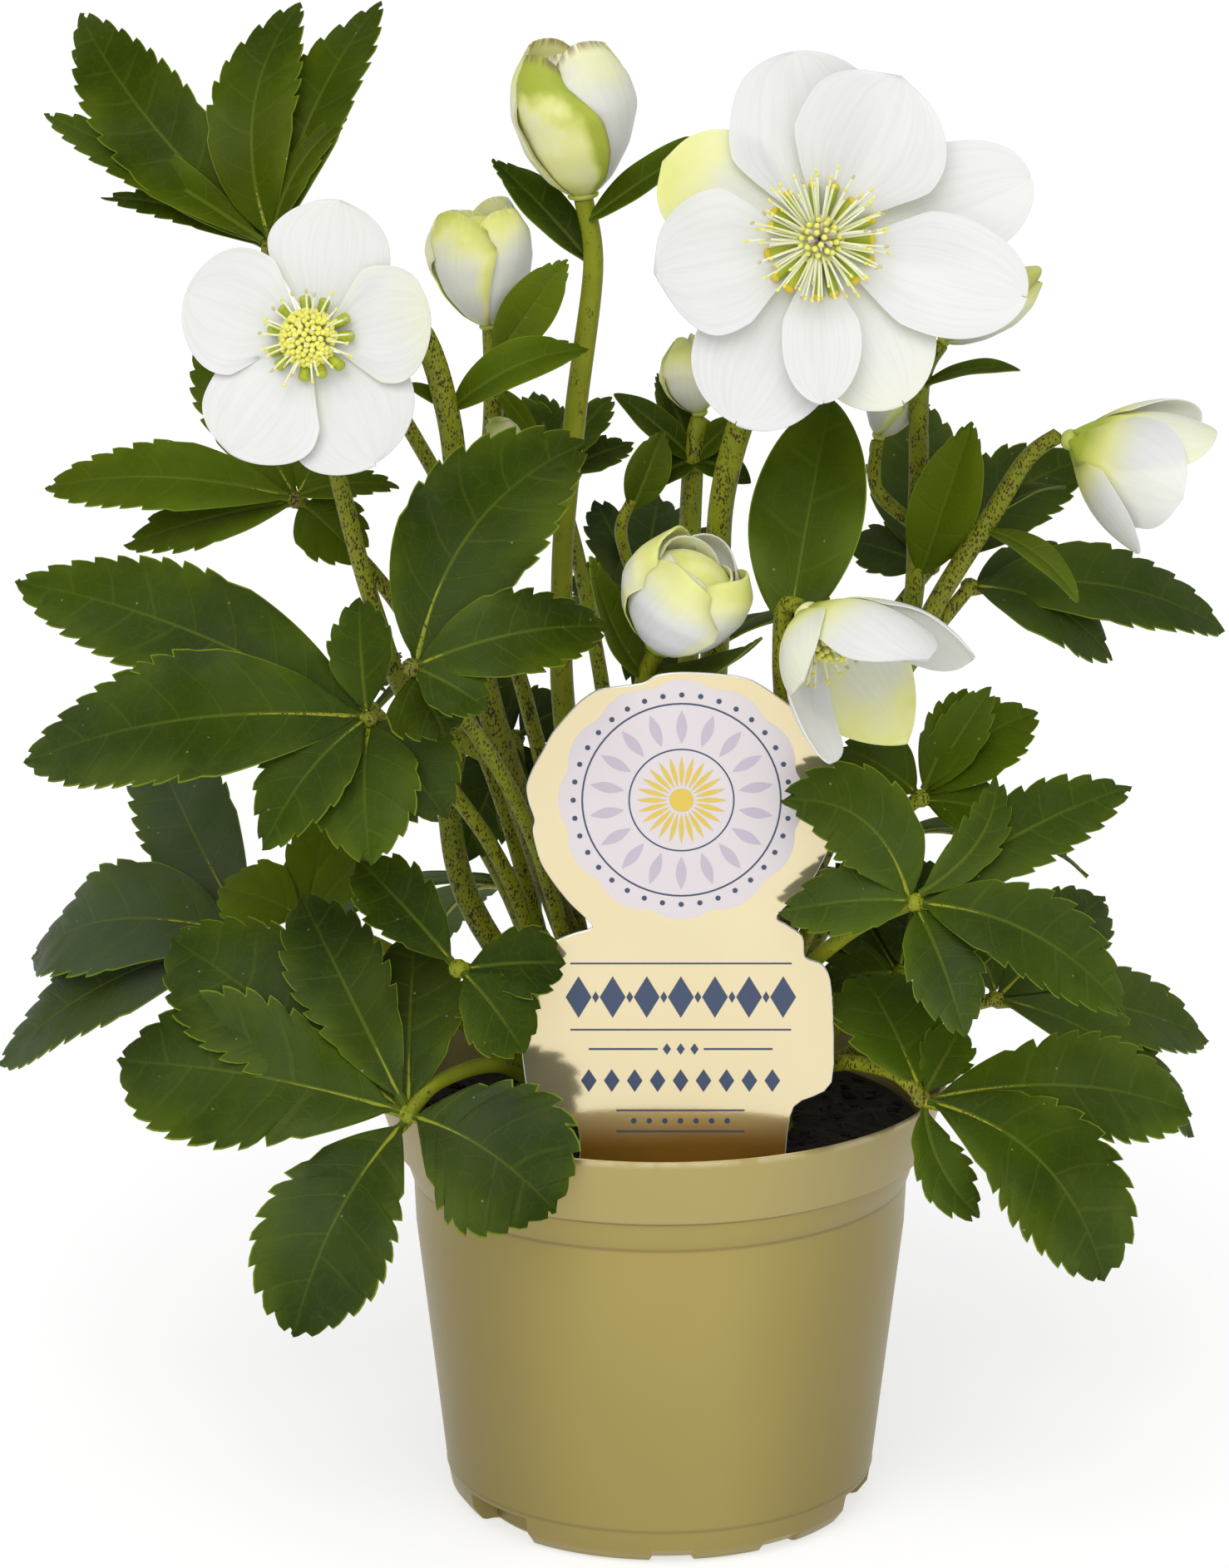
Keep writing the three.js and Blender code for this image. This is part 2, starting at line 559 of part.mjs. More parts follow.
/** Buds: base, tip, width across, number of wrapped petals, radius of the mouth as a share. */
const BUDS = {
  bud_tall: { base: [-17, -10, 300], tip: [-21, -10, 334], width: 27, petals: 4, mouth: 0.42 },
  bud_green: { base: [-37, -5, 271], tip: [-41, -5, 298], width: 22, petals: 4, mouth: 0.6 },
  bud_small: { base: [-30, -12.6, 247], tip: [-38, -13.2, 251.5], width: 7, petals: 3, mouth: 0.3 },
  bud_low: { base: [-1, -33, 206], tip: [9, -42, 229], width: 28, petals: 4, mouth: 0.66 },
  bud_centre: { base: [8.5, 1, 250.7], tip: [4.5, 2, 268], width: 14, petals: 3, mouth: 0.3 },
  bud_crescent: { base: [61.2, 5, 266.4], tip: [83, 4, 282], width: 13, petals: 3, mouth: 0.3 },
  bud_right: { base: [48, 12, 243.5], tip: [54, 12, 258], width: 12, petals: 3, mouth: 0.3 },
};

/** A bud's outline as [height, radius] shares; the last two rings turn down into its mouth. */
const budOutline = (mouth) => [
  [0, 0.2], [0.1, 0.56], [0.32, 0.95], [0.58, 1], [0.82, 0.5 + mouth / 2], [1, mouth], [0.78, mouth * 0.7],
];

/** Across one wrapped petal: share of its angle, radius, and how much its edge drops at the mouth. */
const WRAP = [[0, 0.88, 1], [0.36, 0.97, 0.2], [0.7, 1, 0.1], [0.95, 1.03, 0.8]];

function bud({ base, tip, width, petals, mouth }) {
  const run = at(tip).sub(at(base));
  const facing = run.clone().normalize();
  const { right, up } = bloomFrame(facing);
  const foot = at(base).addScaledVector(facing, GAP);
  const rings = budOutline(mouth).map(([height, radius], level) => {
    const ring = [];
    for (let i = 0; i < petals; i += 1) {
      WRAP.forEach(([share, swell, drop]) => {
        const angle = (2 * Math.PI * (i + share)) / petals + height * 0.5;
        const sink = level === 5 ? drop * 0.12 : 0;
        const point = foot.clone().addScaledVector(run, height - sink - (i % 2) * 0.05 * height);
        const reach = (width / 2) * radius * swell;
        point.addScaledVector(right, reach * Math.cos(angle));
        ring.push(point.addScaledVector(up, reach * Math.sin(angle)));
      });
    }
    return ring;
  });
  return loft(rings);
}

// ---------------------------------------------------------------- pot, soil and tag

const POT_OUTSIDE = [
  [0, 0], [45.5, 0], [48.4, 4], [55.7, 66], [56.3, 77.4], [58.5, 83.8], [60.1, 84.3],
  [RIM_RADIUS - 0.1, 99], [RIM_RADIUS - 0.6, POT_HEIGHT],
];
const POT_INSIDE = [
  [RIM_RADIUS - WALL, POT_HEIGHT + 1], [RIM_RADIUS - WALL, POT_HEIGHT], [58.9, 84.6], [55, 77],
  [51.1, 33.6], [47.2, 5.2], [45.8, FLOOR], [0, FLOOR],
];
const SOIL_PROFILE = [
  [0, FLOOR + GAP], [45, FLOOR + GAP], [46.6, 5.4], [54.2, 77], [57.8, 84.5], [58.8, 87.6],
];

function revolve(profile, sides) {
  return solidFrom(new THREE.LatheGeometry(profile.map(([r, z]) => new THREE.Vector2(r, z)), sides))
    .rotate([90, 0, 0]);
}

function box(size, centre, turn) {
  return solidFrom(new THREE.BoxGeometry(...size)).translate(centre).rotate([0, 0, turn]);
}

/** Blocks for the notches between the three long feet, grown on every inner side by `more`. */
function notches(more) {
  const { height, width, inner, angles } = FOOT_NOTCH;
  const depth = 20;
  return join(angles.map((turn) => box(
    [depth, width + 2 * more, height + 2 + more],
    [inner - more + depth / 2, 0, (height + more - 2) / 2],
    turn,
  )));
}

function pot() {
  const outside = revolve([...POT_OUTSIDE, [0, POT_HEIGHT]], POT_SIDES).subtract(notches(0));
  const inside = revolve([[0, POT_HEIGHT + 1], ...POT_INSIDE].reverse(), POT_SIDES).subtract(notches(WALL));
  const recesses = FOOT_RECESS.angles.map((turn) => box(
    [6, FOOT_RECESS.width, 2 * FOOT_RECESS.height],
    [47.6, 0, 0],
    turn,
  ));
  return outside.subtract(inside).subtract(join(recesses));
}

function soil() {
  const random = randomFrom(13);
  const rings = SOIL_PROFILE.slice(1).map(([r, z]) => [r, z, 0]);
  rings.push([52, SOIL_TOP, 1], [40, SOIL_TOP, 0]);
  const points = rings.map(([r, z, rough]) => {
    const ring = [];
    for (let j = 0; j < SOIL_SIDES; j += 1) {
      const angle = (2 * Math.PI * j) / SOIL_SIDES;
      const bump = rough * SOIL_RELIEF * (random() - 0.5);
      ring.push(v(r * Math.cos(angle), r * Math.sin(angle), z + bump));
    }
    return ring;
  });
  return loft(points).subtract(notches(WALL + GAP));
}

/** The tag's outline, right half and left half of a medallion on a shouldered panel. */
const TAG_OUTLINE = [
  [4, 203.8], [-1.3, 203.2], [-4, 201.6], [-8.4, 200.8], [-13.8, 200], [-17.3, 197.8], [-19.1, 196],
  [-23.6, 190.6], [-25.6, 186.9], [-28.1, 182.3], [-29.3, 178.6], [-28.8, 174.9], [-27.6, 171.2],
  [-28, 168.4], [-26.4, 161.9], [-23.7, 157.3], [-20.1, 152.6], [-16.5, 149], [-15.3, 147], [-19.2, 145.7],
  [-22.8, 144.2], [-29.6, 140.4], [-29.8, 112], [-19.3, 103.4], [-18, 95], [-18, SOIL_TOP - TAG_FOOT],
  [26, SOIL_TOP - TAG_FOOT], [27, 95], [28.8, 106.4], [36.9, 112], [36.7, 132.9], [34.8, 138.6],
  [30.9, 140.4], [30.3, 145.1], [26.7, 147.8], [24.8, 149.8], [32, 157.3], [36.4, 166.6], [37.7, 175.9],
  [36.2, 185.1], [32.4, 191.6], [27.2, 196.4], [19.1, 202], [12, 203.4],
];

function tagPlate(outline, thickness) {
  const shape = new THREE.Shape(outline.map(([x, z]) => new THREE.Vector2(x, z)));
  const plate = new THREE.ExtrudeGeometry(shape, { depth: thickness, bevelEnabled: false });
  plate.rotateX(Math.PI / 2);
  plate.translate(0, TAG_Y + thickness / 2, 0);
  return solidFrom(plate);
}

// ---------------------------------------------------------------- assembly

const GOLD = { color: 0x9a8a5c, roughness: 0.42, metalness: 0.6 };
const PEAT = { color: 0x17120e, roughness: 0.95, metalness: 0 };
const CARD = { color: 0xdccb98, roughness: 0.5, metalness: 0.1 };
const DARK_LEAF = { color: 0x2c4a24, roughness: 0.55, metalness: 0 };
const GREEN_STEM = { color: 0x7f8a4a, roughness: 0.5, metalness: 0 };
const WHITE_PETAL = { color: 0xf1efe6, roughness: 0.6, metalness: 0 };
const YELLOW_STAMEN = { color: 0xe2d277, roughness: 0.7, metalness: 0 };

const group = new THREE.Group();

function place(name, solid, look) {
  const { numProp, vertProperties, triVerts } = solid.getMesh();
  const geometry = new THREE.BufferGeometry();
  const positions = new Float32Array((vertProperties.length / numProp) * 3);
  for (let i = 0; i < positions.length / 3; i += 1) {
    positions.set(vertProperties.subarray(i * numProp, i * numProp + 3), i * 3);
  }
  geometry.setAttribute('position', new THREE.BufferAttribute(positions, 3));
  geometry.setIndex(new THREE.BufferAttribute(new Uint32Array(triVerts), 1));
  geometry.computeVertexNormals();
  const mesh = new THREE.Mesh(geometry, new THREE.MeshStandardMaterial(look));
  mesh.name = name;
  group.add(mesh);
}

/** A hole through the soil's top for one stalk. */
function hole([x, y], radius) {
  const points = [v(x, y, SOIL_TOP - ROOT - GAP), v(x, y, SOIL_TOP + 4)];
  const size = (radius + GAP) / Math.cos(Math.PI / 4);
  return stalk(points, { foot: size, top: size, sides: 4 });
}

const tag = tagPlate(TAG_OUTLINE, TAG_THICKNESS);
const slot = tagPlate(
  [[-18.6, SOIL_TOP - TAG_FOOT - GAP], [27.3, SOIL_TOP - TAG_FOOT - GAP], [27.3, 94], [-18.6, 94]],
  TAG_THICKNESS + 2 * GAP,
);
const holes = [
  ...Object.values(LEAVES).map(({ foot }) => hole(foot, LEAF_STALK.foot)),
  ...Object.values(BACK_LEAVES).map(({ foot }) => hole(foot, LEAF_STALK.foot)),
  ...Object.values(STEMS).map(({ foot, radii }) => hole(foot, radii[0])),
];

place('pot', pot(), GOLD);
place('soil', soil().subtract(join([slot, ...holes])), PEAT);
place('tag', tag, CARD);
Object.entries(LEAVES).forEach(([name, spec]) => place(`leaf_${name}`, leaf(spec), DARK_LEAF));
Object.entries(BACK_LEAVES).forEach(([name, spec]) => place(`leaf_${name}`, fanLeaf(spec), DARK_LEAF));
Object.entries(STEMS).forEach(([name, spec]) => place(name, flowerStem(spec), GREEN_STEM));
Object.entries(BLOOMS).forEach(([name, spec]) => {
  place(`${name}_petals`, petalRing(spec), WHITE_PETAL);
  if (spec.stamens) place(`${name}_stamens`, stamenTuft(spec), YELLOW_STAMEN);
});
Object.entries(BUDS).forEach(([name, spec]) => place(name, bud(spec), WHITE_PETAL));

export default group;
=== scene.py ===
"""A potted Christmas rose with its card tag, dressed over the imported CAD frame.

Sizes are worked out in millimetres, in the CAD's own frame, and turned into metres once, where a Form
becomes a piece. Every leaf, stem, petal and bud follows the line of the CAD solid that it replaces.
"""

import math
import random

import bpy
import numpy as np
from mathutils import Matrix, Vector, noise


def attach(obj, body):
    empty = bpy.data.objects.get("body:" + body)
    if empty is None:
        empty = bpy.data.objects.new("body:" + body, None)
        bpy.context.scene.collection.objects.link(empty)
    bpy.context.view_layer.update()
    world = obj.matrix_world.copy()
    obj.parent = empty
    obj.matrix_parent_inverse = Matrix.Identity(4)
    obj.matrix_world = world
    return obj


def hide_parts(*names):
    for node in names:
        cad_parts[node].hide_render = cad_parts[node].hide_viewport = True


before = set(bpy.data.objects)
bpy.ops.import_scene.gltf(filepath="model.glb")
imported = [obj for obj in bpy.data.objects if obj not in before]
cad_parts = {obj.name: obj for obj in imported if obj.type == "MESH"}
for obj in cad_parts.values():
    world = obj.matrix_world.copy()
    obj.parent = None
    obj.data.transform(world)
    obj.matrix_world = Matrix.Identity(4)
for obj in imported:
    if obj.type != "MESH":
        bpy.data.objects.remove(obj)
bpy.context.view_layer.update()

MM = 0.001
TURN = 2 * math.pi
GOLDEN_ANGLE = 137.508

# ---------------------------------------------------------------- driving dimensions, as in the CAD

WALL = 1.3  # the pot's
FLOOR = 2  # the pot's, up to its inner side
GAP = 0.35  # between parts that touch
SOIL_TOP = 88
ROOT = 9  # how deep the stalks and stems stand in the soil
TAG_Y = -45
TAG_THICKNESS = 0.8
TAG_FOOT = 12  # how deep the tag stands in the soil
HUB_RADIUS = 3.4  # of the boss where a leaf's leaflets meet
LAYER = 0.75  # by which every other leaflet lies above or below its neighbours
LEAF_STALK = (2.1, 1.6)
NOTCH = {"height": 6.5, "half_turn": 11.2, "inner": 42.5, "angles": (-140, -19, 100)}
RECESS = {"height": 1, "half_turn": 5.9, "angles": (-87, -55)}
CUT_SIDE = 0.45  # half the turn, in degrees, that the side of a notch or recess takes

# What the eye sees is thinner than the CAD's plates.
BLADE_THICKNESS = 0.55
PETAL_THICKNESS = 0.55
BUD_THICKNESS = 0.6

# What is strewn over the peat
CRUMBS = 620
FIBRES = 70

# Each leaf: its foot in the soil, the hub where its stalk ends, the way it faces, and its leaflets as their
# reach from the hub in x, y and z, width, arch and, for some, sideways bend.
LEAVES = {
  "left_high": {
    "foot": [-11, 6], "hub": [-87, 22, 285], "face": [-0.3, -0.74, 0.6],
    "leaflets": [[-46, 54, 45, 24, 0.08, -0.04], [-54, 46, 23, 12, 0.06], [-40, 31, 6, 8, 0.02, 0.06],
      [6, 31, 50, 22, 0.06, -0.1], [24, 34, 50, 19, 0.1, -0.02], [17, 10, 27, 9, 0.04, -0.08]],
  },
  "left_upper": {
    "foot": [-19, 3], "hub": [-80, -8, 234], "face": [-0.25, -0.66, 0.7],
    "leaflets": [[-23, 34, 29, 19, 0.1], [-57, 20, -2, 19, 0.08], [-39, 11, -13, 16, 0.06],
      [23, -13, 5, 8, 0.1], [15, -11, -12, 17, 0.12], [14, 4, 17, 20, 0.1]],
  },
  "left_broad": {
    "foot": [-19, -6], "hub": [-63, -50, 195], "face": [-0.22, -0.72, 0.66],
    "leaflets": [[-79, 42, 20, 29, 0.09, 0.02], [-75, 15, -14, 33, 0.1], [1, -17, -28, 26, 0.14],
      [-22, -12, -26, 21, 0.12], [17, -9, -20, 24, 0.12], [-2, 14, 23, 15, 0.06]],
  },
  "left_centre": {
    "foot": [-14, -12], "hub": [-53, -62, 209], "face": [0.1, -0.84, 0.53],
    "leaflets": [[37, 31, 42, 31, 0.08, -0.12], [41, 15, 5, 20, 0.17], [7, -2, -15, 22, 0.08],
      [16, -6, -8, 14, 0.1]],
  },
  "left_low_back": {
    "foot": [-27, 5], "hub": [-94, 8, 130], "face": [-0.45, -0.5, 0.74],
    "leaflets": [[-27, 69, 30, 25, 0.08], [-52, 33, -16, 33, 0.15], [-59, 21, -38, 28, 0.12]],
  },
  "left_light": {
    "foot": [-26, -4], "hub": [-79, -14, 140], "face": [-0.1, -0.7, 0.7],
    "leaflets": [[5, 17, 20, 16, 0.08], [-20, 10, 4, 19, 0.1], [16, 8, 15, 12, 0.08]],
  },
  "pot_left": {
    "foot": [-21, -20], "hub": [-55, -58, 109], "face": [-0.12, -0.78, 0.61], "outline": "round",
    "via": [[-34, -34, 112], [-48, -50, 114]],
    "leaflets": [[-53, 32, 30, 34, 0.1], [-64, 18, 6, 38, 0.08], [-24, -22, -43, 33, 0.12, 0.04],
      [32, -10, -19, 38, 0.1, -0.05], [1, 26, 32, 26, 0.08], [-24, 27, 41, 23, 0.06]],
  },
  "tag_left": {
    "foot": [-9, -19], "hub": [-44, -52, 140], "face": [0.05, -0.8, 0.6], "outline": "round",
    "leaflets": [[23, 3, 0, 18, 0.1], [14, -4, -18, 19, 0.12], [-22, 11, 21, 18, 0.08]],
  },
  "tag_right": {
    "foot": [13, -20], "hub": [54, -56, 156], "face": [0.12, -0.78, 0.61], "outline": "leaflet",
    "leaflets": [[-29, 1, 22, 24, 0.08, 0.2], [18, 18, 23, 11, 0.08, 0.14], [48, 24, 19, 19, 0.08, -0.03],
      [45, -4, -24, 22, 0.14, -0.05], [10, -14, -26, 18, 0.12], [-29, 5, -4, 17, 0.08]],
  },
  "pot_right": {
    "foot": [22, -20], "hub": [56, -56, 112], "face": [0.2, -0.74, 0.64], "outline": "round",
    "via": [[36, -34, 112], [49, -49, 116]],
    "leaflets": [[60, 16, -9, 26, 0.14, -0.03], [39, -14, -37, 32, 0.12, -0.1], [12, -10, -24, 14, 0.1, 0.14],
      [-12, 26, 20, 26, 0.03], [9, 12, 12, 13, 0.06]],
  },
  "right_low_back": {
    "foot": [28, 4], "hub": [77, 14, 113], "face": [0.4, -0.5, 0.77],
    "leaflets": [[51, 21, -17, 26, 0.12], [46, 2, -34, 20, 0.12], [27, 32, 15, 22, 0.1],
      [-12, 6, 20, 18, 0.08]],
  },
  "right_mid": {
    "foot": [20, -8], "hub": [57, -18, 169], "face": [0.15, -0.7, 0.7],
    "leaflets": [[27, 20, 14, 20, 0.1, -0.06], [11, 18, 20, 12, 0.08], [16, 12, 22, 12, 0.06],
      [-18, 6, 10, 18, 0.08], [20, 5, -7, 17, 0.14]],
  },
  "right_far": {
    "foot": [20, 3], "hub": [69, 8, 211], "face": [0.2, -0.62, 0.76],
    "via": [[35, 2, 154], [53, 3.6, 190]],
    "leaflets": [[59, 19, -15, 23, 0.16], [32, 3, -18, 22, 0.16], [24, 18, 4, 12, 0.08]],
  },
  "right_high": {
    "foot": [19, 11], "hub": [61, 24, 212], "face": [0.08, -0.78, 0.62],
    "leaflets": [[0, 27, 32, 25, 0.08, -0.06], [36, 20, 20, 22, 0.1, -0.04], [-18, 8, 4, 15, 0.08]],
  },
  "mid_back": {
    "foot": [3, 13], "hub": [-4, 36, 202], "face": [0, -0.71, 0.71],
    "leaflets": [[-11, 21, 18, 14, 0.08], [4, 22, 19, 17, 0.08], [16, 19, 12, 13, 0.08],
      [-17, 10, 2, 14, 0.1], [5, -9, -25, 17, 0.1]],
  },
  "mid_low_back": {
    "foot": [-27, 12], "hub": [-33, 24, 172], "face": [0, -0.75, 0.66],
    "leaflets": [[-13, 10, 16, 17, 0.08], [-12, -6, -28, 20, 0.1], [9, -8, -30, 20, 0.12],
      [13, 5, 6, 16, 0.1]],
  },
  "mid_left_back": {
    "foot": [-5, 12], "hub": [-24, 44, 229], "face": [0, -0.7, 0.72],
    "leaflets": [[18, 16, 4, 10, 0.08], [13, 14, 15, 10, 0.1], [-14, 14, 15, 17, 0.08],
      [-5, 16, 16, 12, 0.06]],
  },
  "inner_right": {
    "foot": [28, -6], "hub": [54, 4, 122], "face": [0.1, -0.75, 0.65],
    "leaflets": [[-17, 8, 23, 20, 0.08], [5, 10, 25, 20, 0.1], [24, 6, 12, 18, 0.1],
      [-18, -6, -1, 18, 0.1]],
  },
}

# Leaves with coarser teeth, which start lower on the blade
COARSE_LEAVES = {"pot_left", "tag_left", "tag_right", "pot_right"}

# Each leaf at the back: its foot, its hub, the heading it points to in degrees, how much it climbs, and the
# length of its middle leaflet.
BACK_LEAVES = {
  "back_left": {"foot": [-20, 13], "hub": [-68, 62, 170], "heading": 140, "rise": 0.1, "length": 68},
  "back_right": {"foot": [24, 20], "hub": [58, 64, 140], "heading": 52, "rise": 0, "length": 54},
  "back_centre": {"foot": [7, 21], "hub": [12, 92, 178], "heading": 88, "rise": 0.2, "length": 62},
  "back_low_left": {"foot": [-12, 21], "hub": [-38, 84, 122], "heading": 112, "rise": -0.15, "length": 66},
  "back_low_right": {"foot": [16, 27], "hub": [50, 86, 118], "heading": 66, "rise": -0.15, "length": 64},
}

FAN_ANGLES = [-100, -50, 0, 50, 100]  # of a back leaf's leaflets from its heading

# Each stem: its foot, the path from there, the radius at its ends, a side branch, and its bracts as root,
# tip, width, arch and the way they face.
STEMS = {
  "stem_big": {
    "foot": [4, -5],
    "path": [[9, -9, 160], [12, -13, 205], [13, -17, 236], [20, -23, 263], [30, -27.5, 286],
      [32.4, -34, 294.2]],
    "radii": [3.1, 2.6],
    "bracts": [],
  },
  "stem_second": {
    "foot": [-7, -10],
    "path": [[-27, -17, 155], [-38, -19, 191], [-43, -21, 222], [-46, -25, 255], [-53, -29, 276],
      [-66, -31.5, 277.5], [-73.2, -38.5, 273.9]],
    "radii": [3.3, 2.2],
    "branch": {
      "points": [[-36, -19, 178], [-54, -26, 191], [-63, -31, 217], [-69, -34, 242], [-73, -35, 259]],
      "radii": [2.2, 1.8],
    },
    "bracts": [[[-45, -24, 257], [-16, -20, 269], 12, 0.16, [-0.1, -0.7, 0.7]],
      [[-45, -24, 257], [-55, -22, 262], 4, 0.04, [0, -0.7, 0.7]]],
  },
  "stem_third": {
    "foot": [11, -11],
    "path": [[20, -20, 140], [26, -30, 180], [25.6, -37.6, 205], [26, -40.8, 216.8], [29.1, -43.9, 218]],
    "radii": [2.7, 1.8],
    "bracts": [[[27, -40, 212], [37, -7, 256], 26, 0.05, [-0.1, -0.8, 0.55]]],
  },
  "stem_nodding": {
    "foot": [12, -1],
    "path": [[30, -6, 140], [46, -4, 176], [59, 0, 205], [73, 0, 229], [80.5, -0.3, 241.5],
      [87, -1.1, 246.7]],
    "radii": [3.1, 1.8],
    "bracts": [[[72, 0, 225], [91, -14, 212], 8, 0.14, [0.3, -0.6, 0.7]],
      [[74, 0, 229], [90, 12, 232], 9, 0.1, [0.2, 0.2, 0.9]]],
  },
  "stem_bud_tall": {
    "foot": [-4, -1],
    "path": [[-20, -4, 172], [-22, -6, 215], [-19, -8, 252], [-15, -10, 285], [-17, -10, 300]],
    "radii": [3, 2.2],
    "bracts": [[[-16.5, -9, 287], [-37, 2, 307], 12, 0.03, [0.5, -0.7, 0.4]],
      [[-15.5, -12, 296], [13, -21, 316], 10, 0.03, [-0.55, -0.6, 0.6]]],
  },
  "stem_bud_green": {
    "foot": [-12, -2],
    "path": [[-40, -9, 137], [-47, -9, 162], [-45, -8, 180], [-40, -6, 215], [-37, -6, 250], [-37, -5, 271]],
    "radii": [2.9, 2.2],
    "branch": {"points": [[-38.5, -6.5, 229], [-32, -11, 238], [-29.4, -12.4, 246.4]], "radii": [1.7, 1.2]},
    "bracts": [[[-36, -7, 265], [-20.5, -19, 288.5], 12, 0.1, [0.1, -0.9, 0.4]],
      [[-36, -6, 258], [-27, -10, 247], 5, 0.06, [0.2, -0.9, 0.3]]],
  },
  "stem_bud_low": {
    "foot": [2, -14], "path": [[-1, -20, 150], [-4, -26, 184], [-4, -30, 198], [-1, -33, 206]],
    "radii": [2.4, 2],
    "bracts": [[[-4, -30, 199], [-15.5, -40, 228], 12, -0.08, [0.6, -0.6, 0.5]],
      [[-3, -31, 200.5], [21, -48, 212], 10, -0.16, [-0.1, -0.4, 0.9]]],
  },
  "stem_bud_centre": {
    "foot": [4, 4], "path": [[6, 2, 165], [6, 0, 213], [7, 0, 242], [8.5, 1, 250]],
    "radii": [2.8, 2.2],
    "branch": {"points": [[6, 1, 204], [-4, -4, 212], [-9, -8, 226], [-6.5, -9, 234]], "radii": [1.6, 1.2]},
    "bracts": [[[7, 0, 241], [-10.5, -4, 256.5], 8, 0.05, [0.3, -0.8, 0.5]],
      [[7, 0, 241], [-1, 12, 258], 9, 0.05, [0.3, -0.8, 0.5]],
      [[7, 0, 241], [17, -2, 251], 7, 0.05, [-0.3, -0.8, 0.5]],
      [[7, 0, 241], [-4, -6, 236], 8, 0.1, [0, -0.7, 0.7]],
      [[7, 0, 241], [19.5, -6, 237], 8, 0.1, [0, -0.7, 0.7]],
      [[-6.5, -9, 232], [0, -8, 249], 10, 0.08, [0.2, -0.9, 0.4]]],
  },
  "stem_bud_right": {
    "foot": [11, 8], "path": [[34, 9, 150], [54, 9, 196], [57, 9, 228], [57, 6, 256], [61, 5, 266]],
    "radii": [2.6, 2],
    "branch": {"points": [[57, 9, 224], [48, 12, 232], [48, 12, 243]], "radii": [1.8, 1.4]},
    "bracts": [[[58, 8, 214], [68, -3, 250], 16, 0.04, [0, -0.9, 0.3]],
      [[57, 6, 256], [78, -6, 262], 6, 0.1, [0, -0.5, 0.85]]],
  },
}

# Each bloom: its heart, the way it faces, how its petals cup, its petals as angle round the axis, length,
# width and lift in radians, and the parts of its heart.
BLOOMS = {
  "bloom_big": {
    "centre": [32.5, -37, 295], "axis": [0.03, -0.96, 0.27], "cup": -0.05,
    "petals": [[97, 40, 32, 0.08], [63, 39, 33, 0.26], [16, 46, 26, 0.1], [-17, 45, 26, 0.24],
      [-63, 38, 28, 0.08], [-90, 36, 17, 0.3], [-115, 42, 31, 0.1], [-168, 37, 31, 0.26],
      [152, 37, 26, -0.02]],
    "stamens": {"shown": 130, "length": 13.4, "spread": 72, "reach": 3, "core": 0.6, "dome": (4.6, 6.0),
      "nectaries": 15, "nectary": 8.6, "nectary_lean": 80, "styles": 6, "ripe": True},
  },
  "bloom_second": {
    "centre": [-74, -42, 275], "axis": [-0.2, -0.93, 0.3], "cup": -0.06,
    "petals": [[81, 30, 25, 0.1], [13, 27, 23, 0.16], [-58, 30, 26, 0.08],
      [-120, 30, 25, 0.22], [162, 28, 25, 0.34]],
    "stamens": {"shown": 175, "length": 8.6, "spread": 74, "reach": 3.2, "core": 0.93, "dome": (5.6, 5.4),
      "nectaries": 11, "nectary": 5.4, "nectary_lean": 76, "styles": 4, "ripe": False},
  },
  "bloom_third": {
    "centre": [31, -45.8, 216.2], "axis": [0.58, -0.6, -0.55], "cup": -0.17,
    "petals": [[95, 36, 24.5, 1.08], [34, 37, 24, 0.96], [-44, 35, 26, 0.92],
      [-108, 32, 17, 0.96], [178, 24, 20, 0.8]],
    "stamens": {"shown": 120, "length": 11, "spread": 52, "reach": 3, "core": 0.85, "dome": (5, 9),
      "nectaries": 9, "nectary": 4.5, "nectary_lean": 50, "styles": 5, "ripe": False},
  },
  "bloom_nodding": {
    "centre": [90.5, -1.6, 245.5], "axis": [0.93, -0.12, -0.34], "cup": -0.13,
    "petals": [[90, 31, 22, 1.12], [18, 30, 22, 0.94], [-54, 28, 22, 1.02],
      [-126, 28, 22, 0.88], [162, 30, 22, 1.06]],
  },
}

# How each bloom's petals close up: their width, how much they curve across, how far they wrap round the
# bloom's axis, which of them come to a point, and a turn of them all in degrees.
CLOSING = {
    "bloom_big": (1.0, 0.14, 0, (), 0), "bloom_second": (1.1, 0.12, 0, (), 0),
    "bloom_third": (1.14, 0.16, 0.6, (2,), 0), "bloom_nodding": (1.3, 0.0, 1.0, (), 18),
}

# Each bud: its ends, its width, its outer petals and how wide its mouth is, as a share of its width.
BUDS = {
  "bud_tall": {"base": [-17, -10, 300], "tip": [-21, -10, 334], "width": 27, "petals": 4, "mouth": 0.6},
  "bud_green": {"base": [-37, -5, 271], "tip": [-41, -5, 298], "width": 22, "petals": 4, "mouth": 0.72},
  "bud_small": {"base": [-30, -12.6, 247], "tip": [-38, -13.2, 251.5], "width": 7, "petals": 3, "mouth": 0.3},
  "bud_low": {"base": [-1, -33, 206], "tip": [9, -42, 229], "width": 28, "petals": 4, "mouth": 0.66},
  "bud_centre": {"base": [8.5, 1, 250.7], "tip": [4.5, 2, 268], "width": 14, "petals": 3, "mouth": 0.3},
  "bud_crescent": {"base": [61.2, 5, 266.4], "tip": [83, 4, 282], "width": 13, "petals": 3, "mouth": 0.3},
  "bud_right": {"base": [48, 12, 243.5], "tip": [54, 12, 258], "width": 12, "petals": 3, "mouth": 0.3},
}

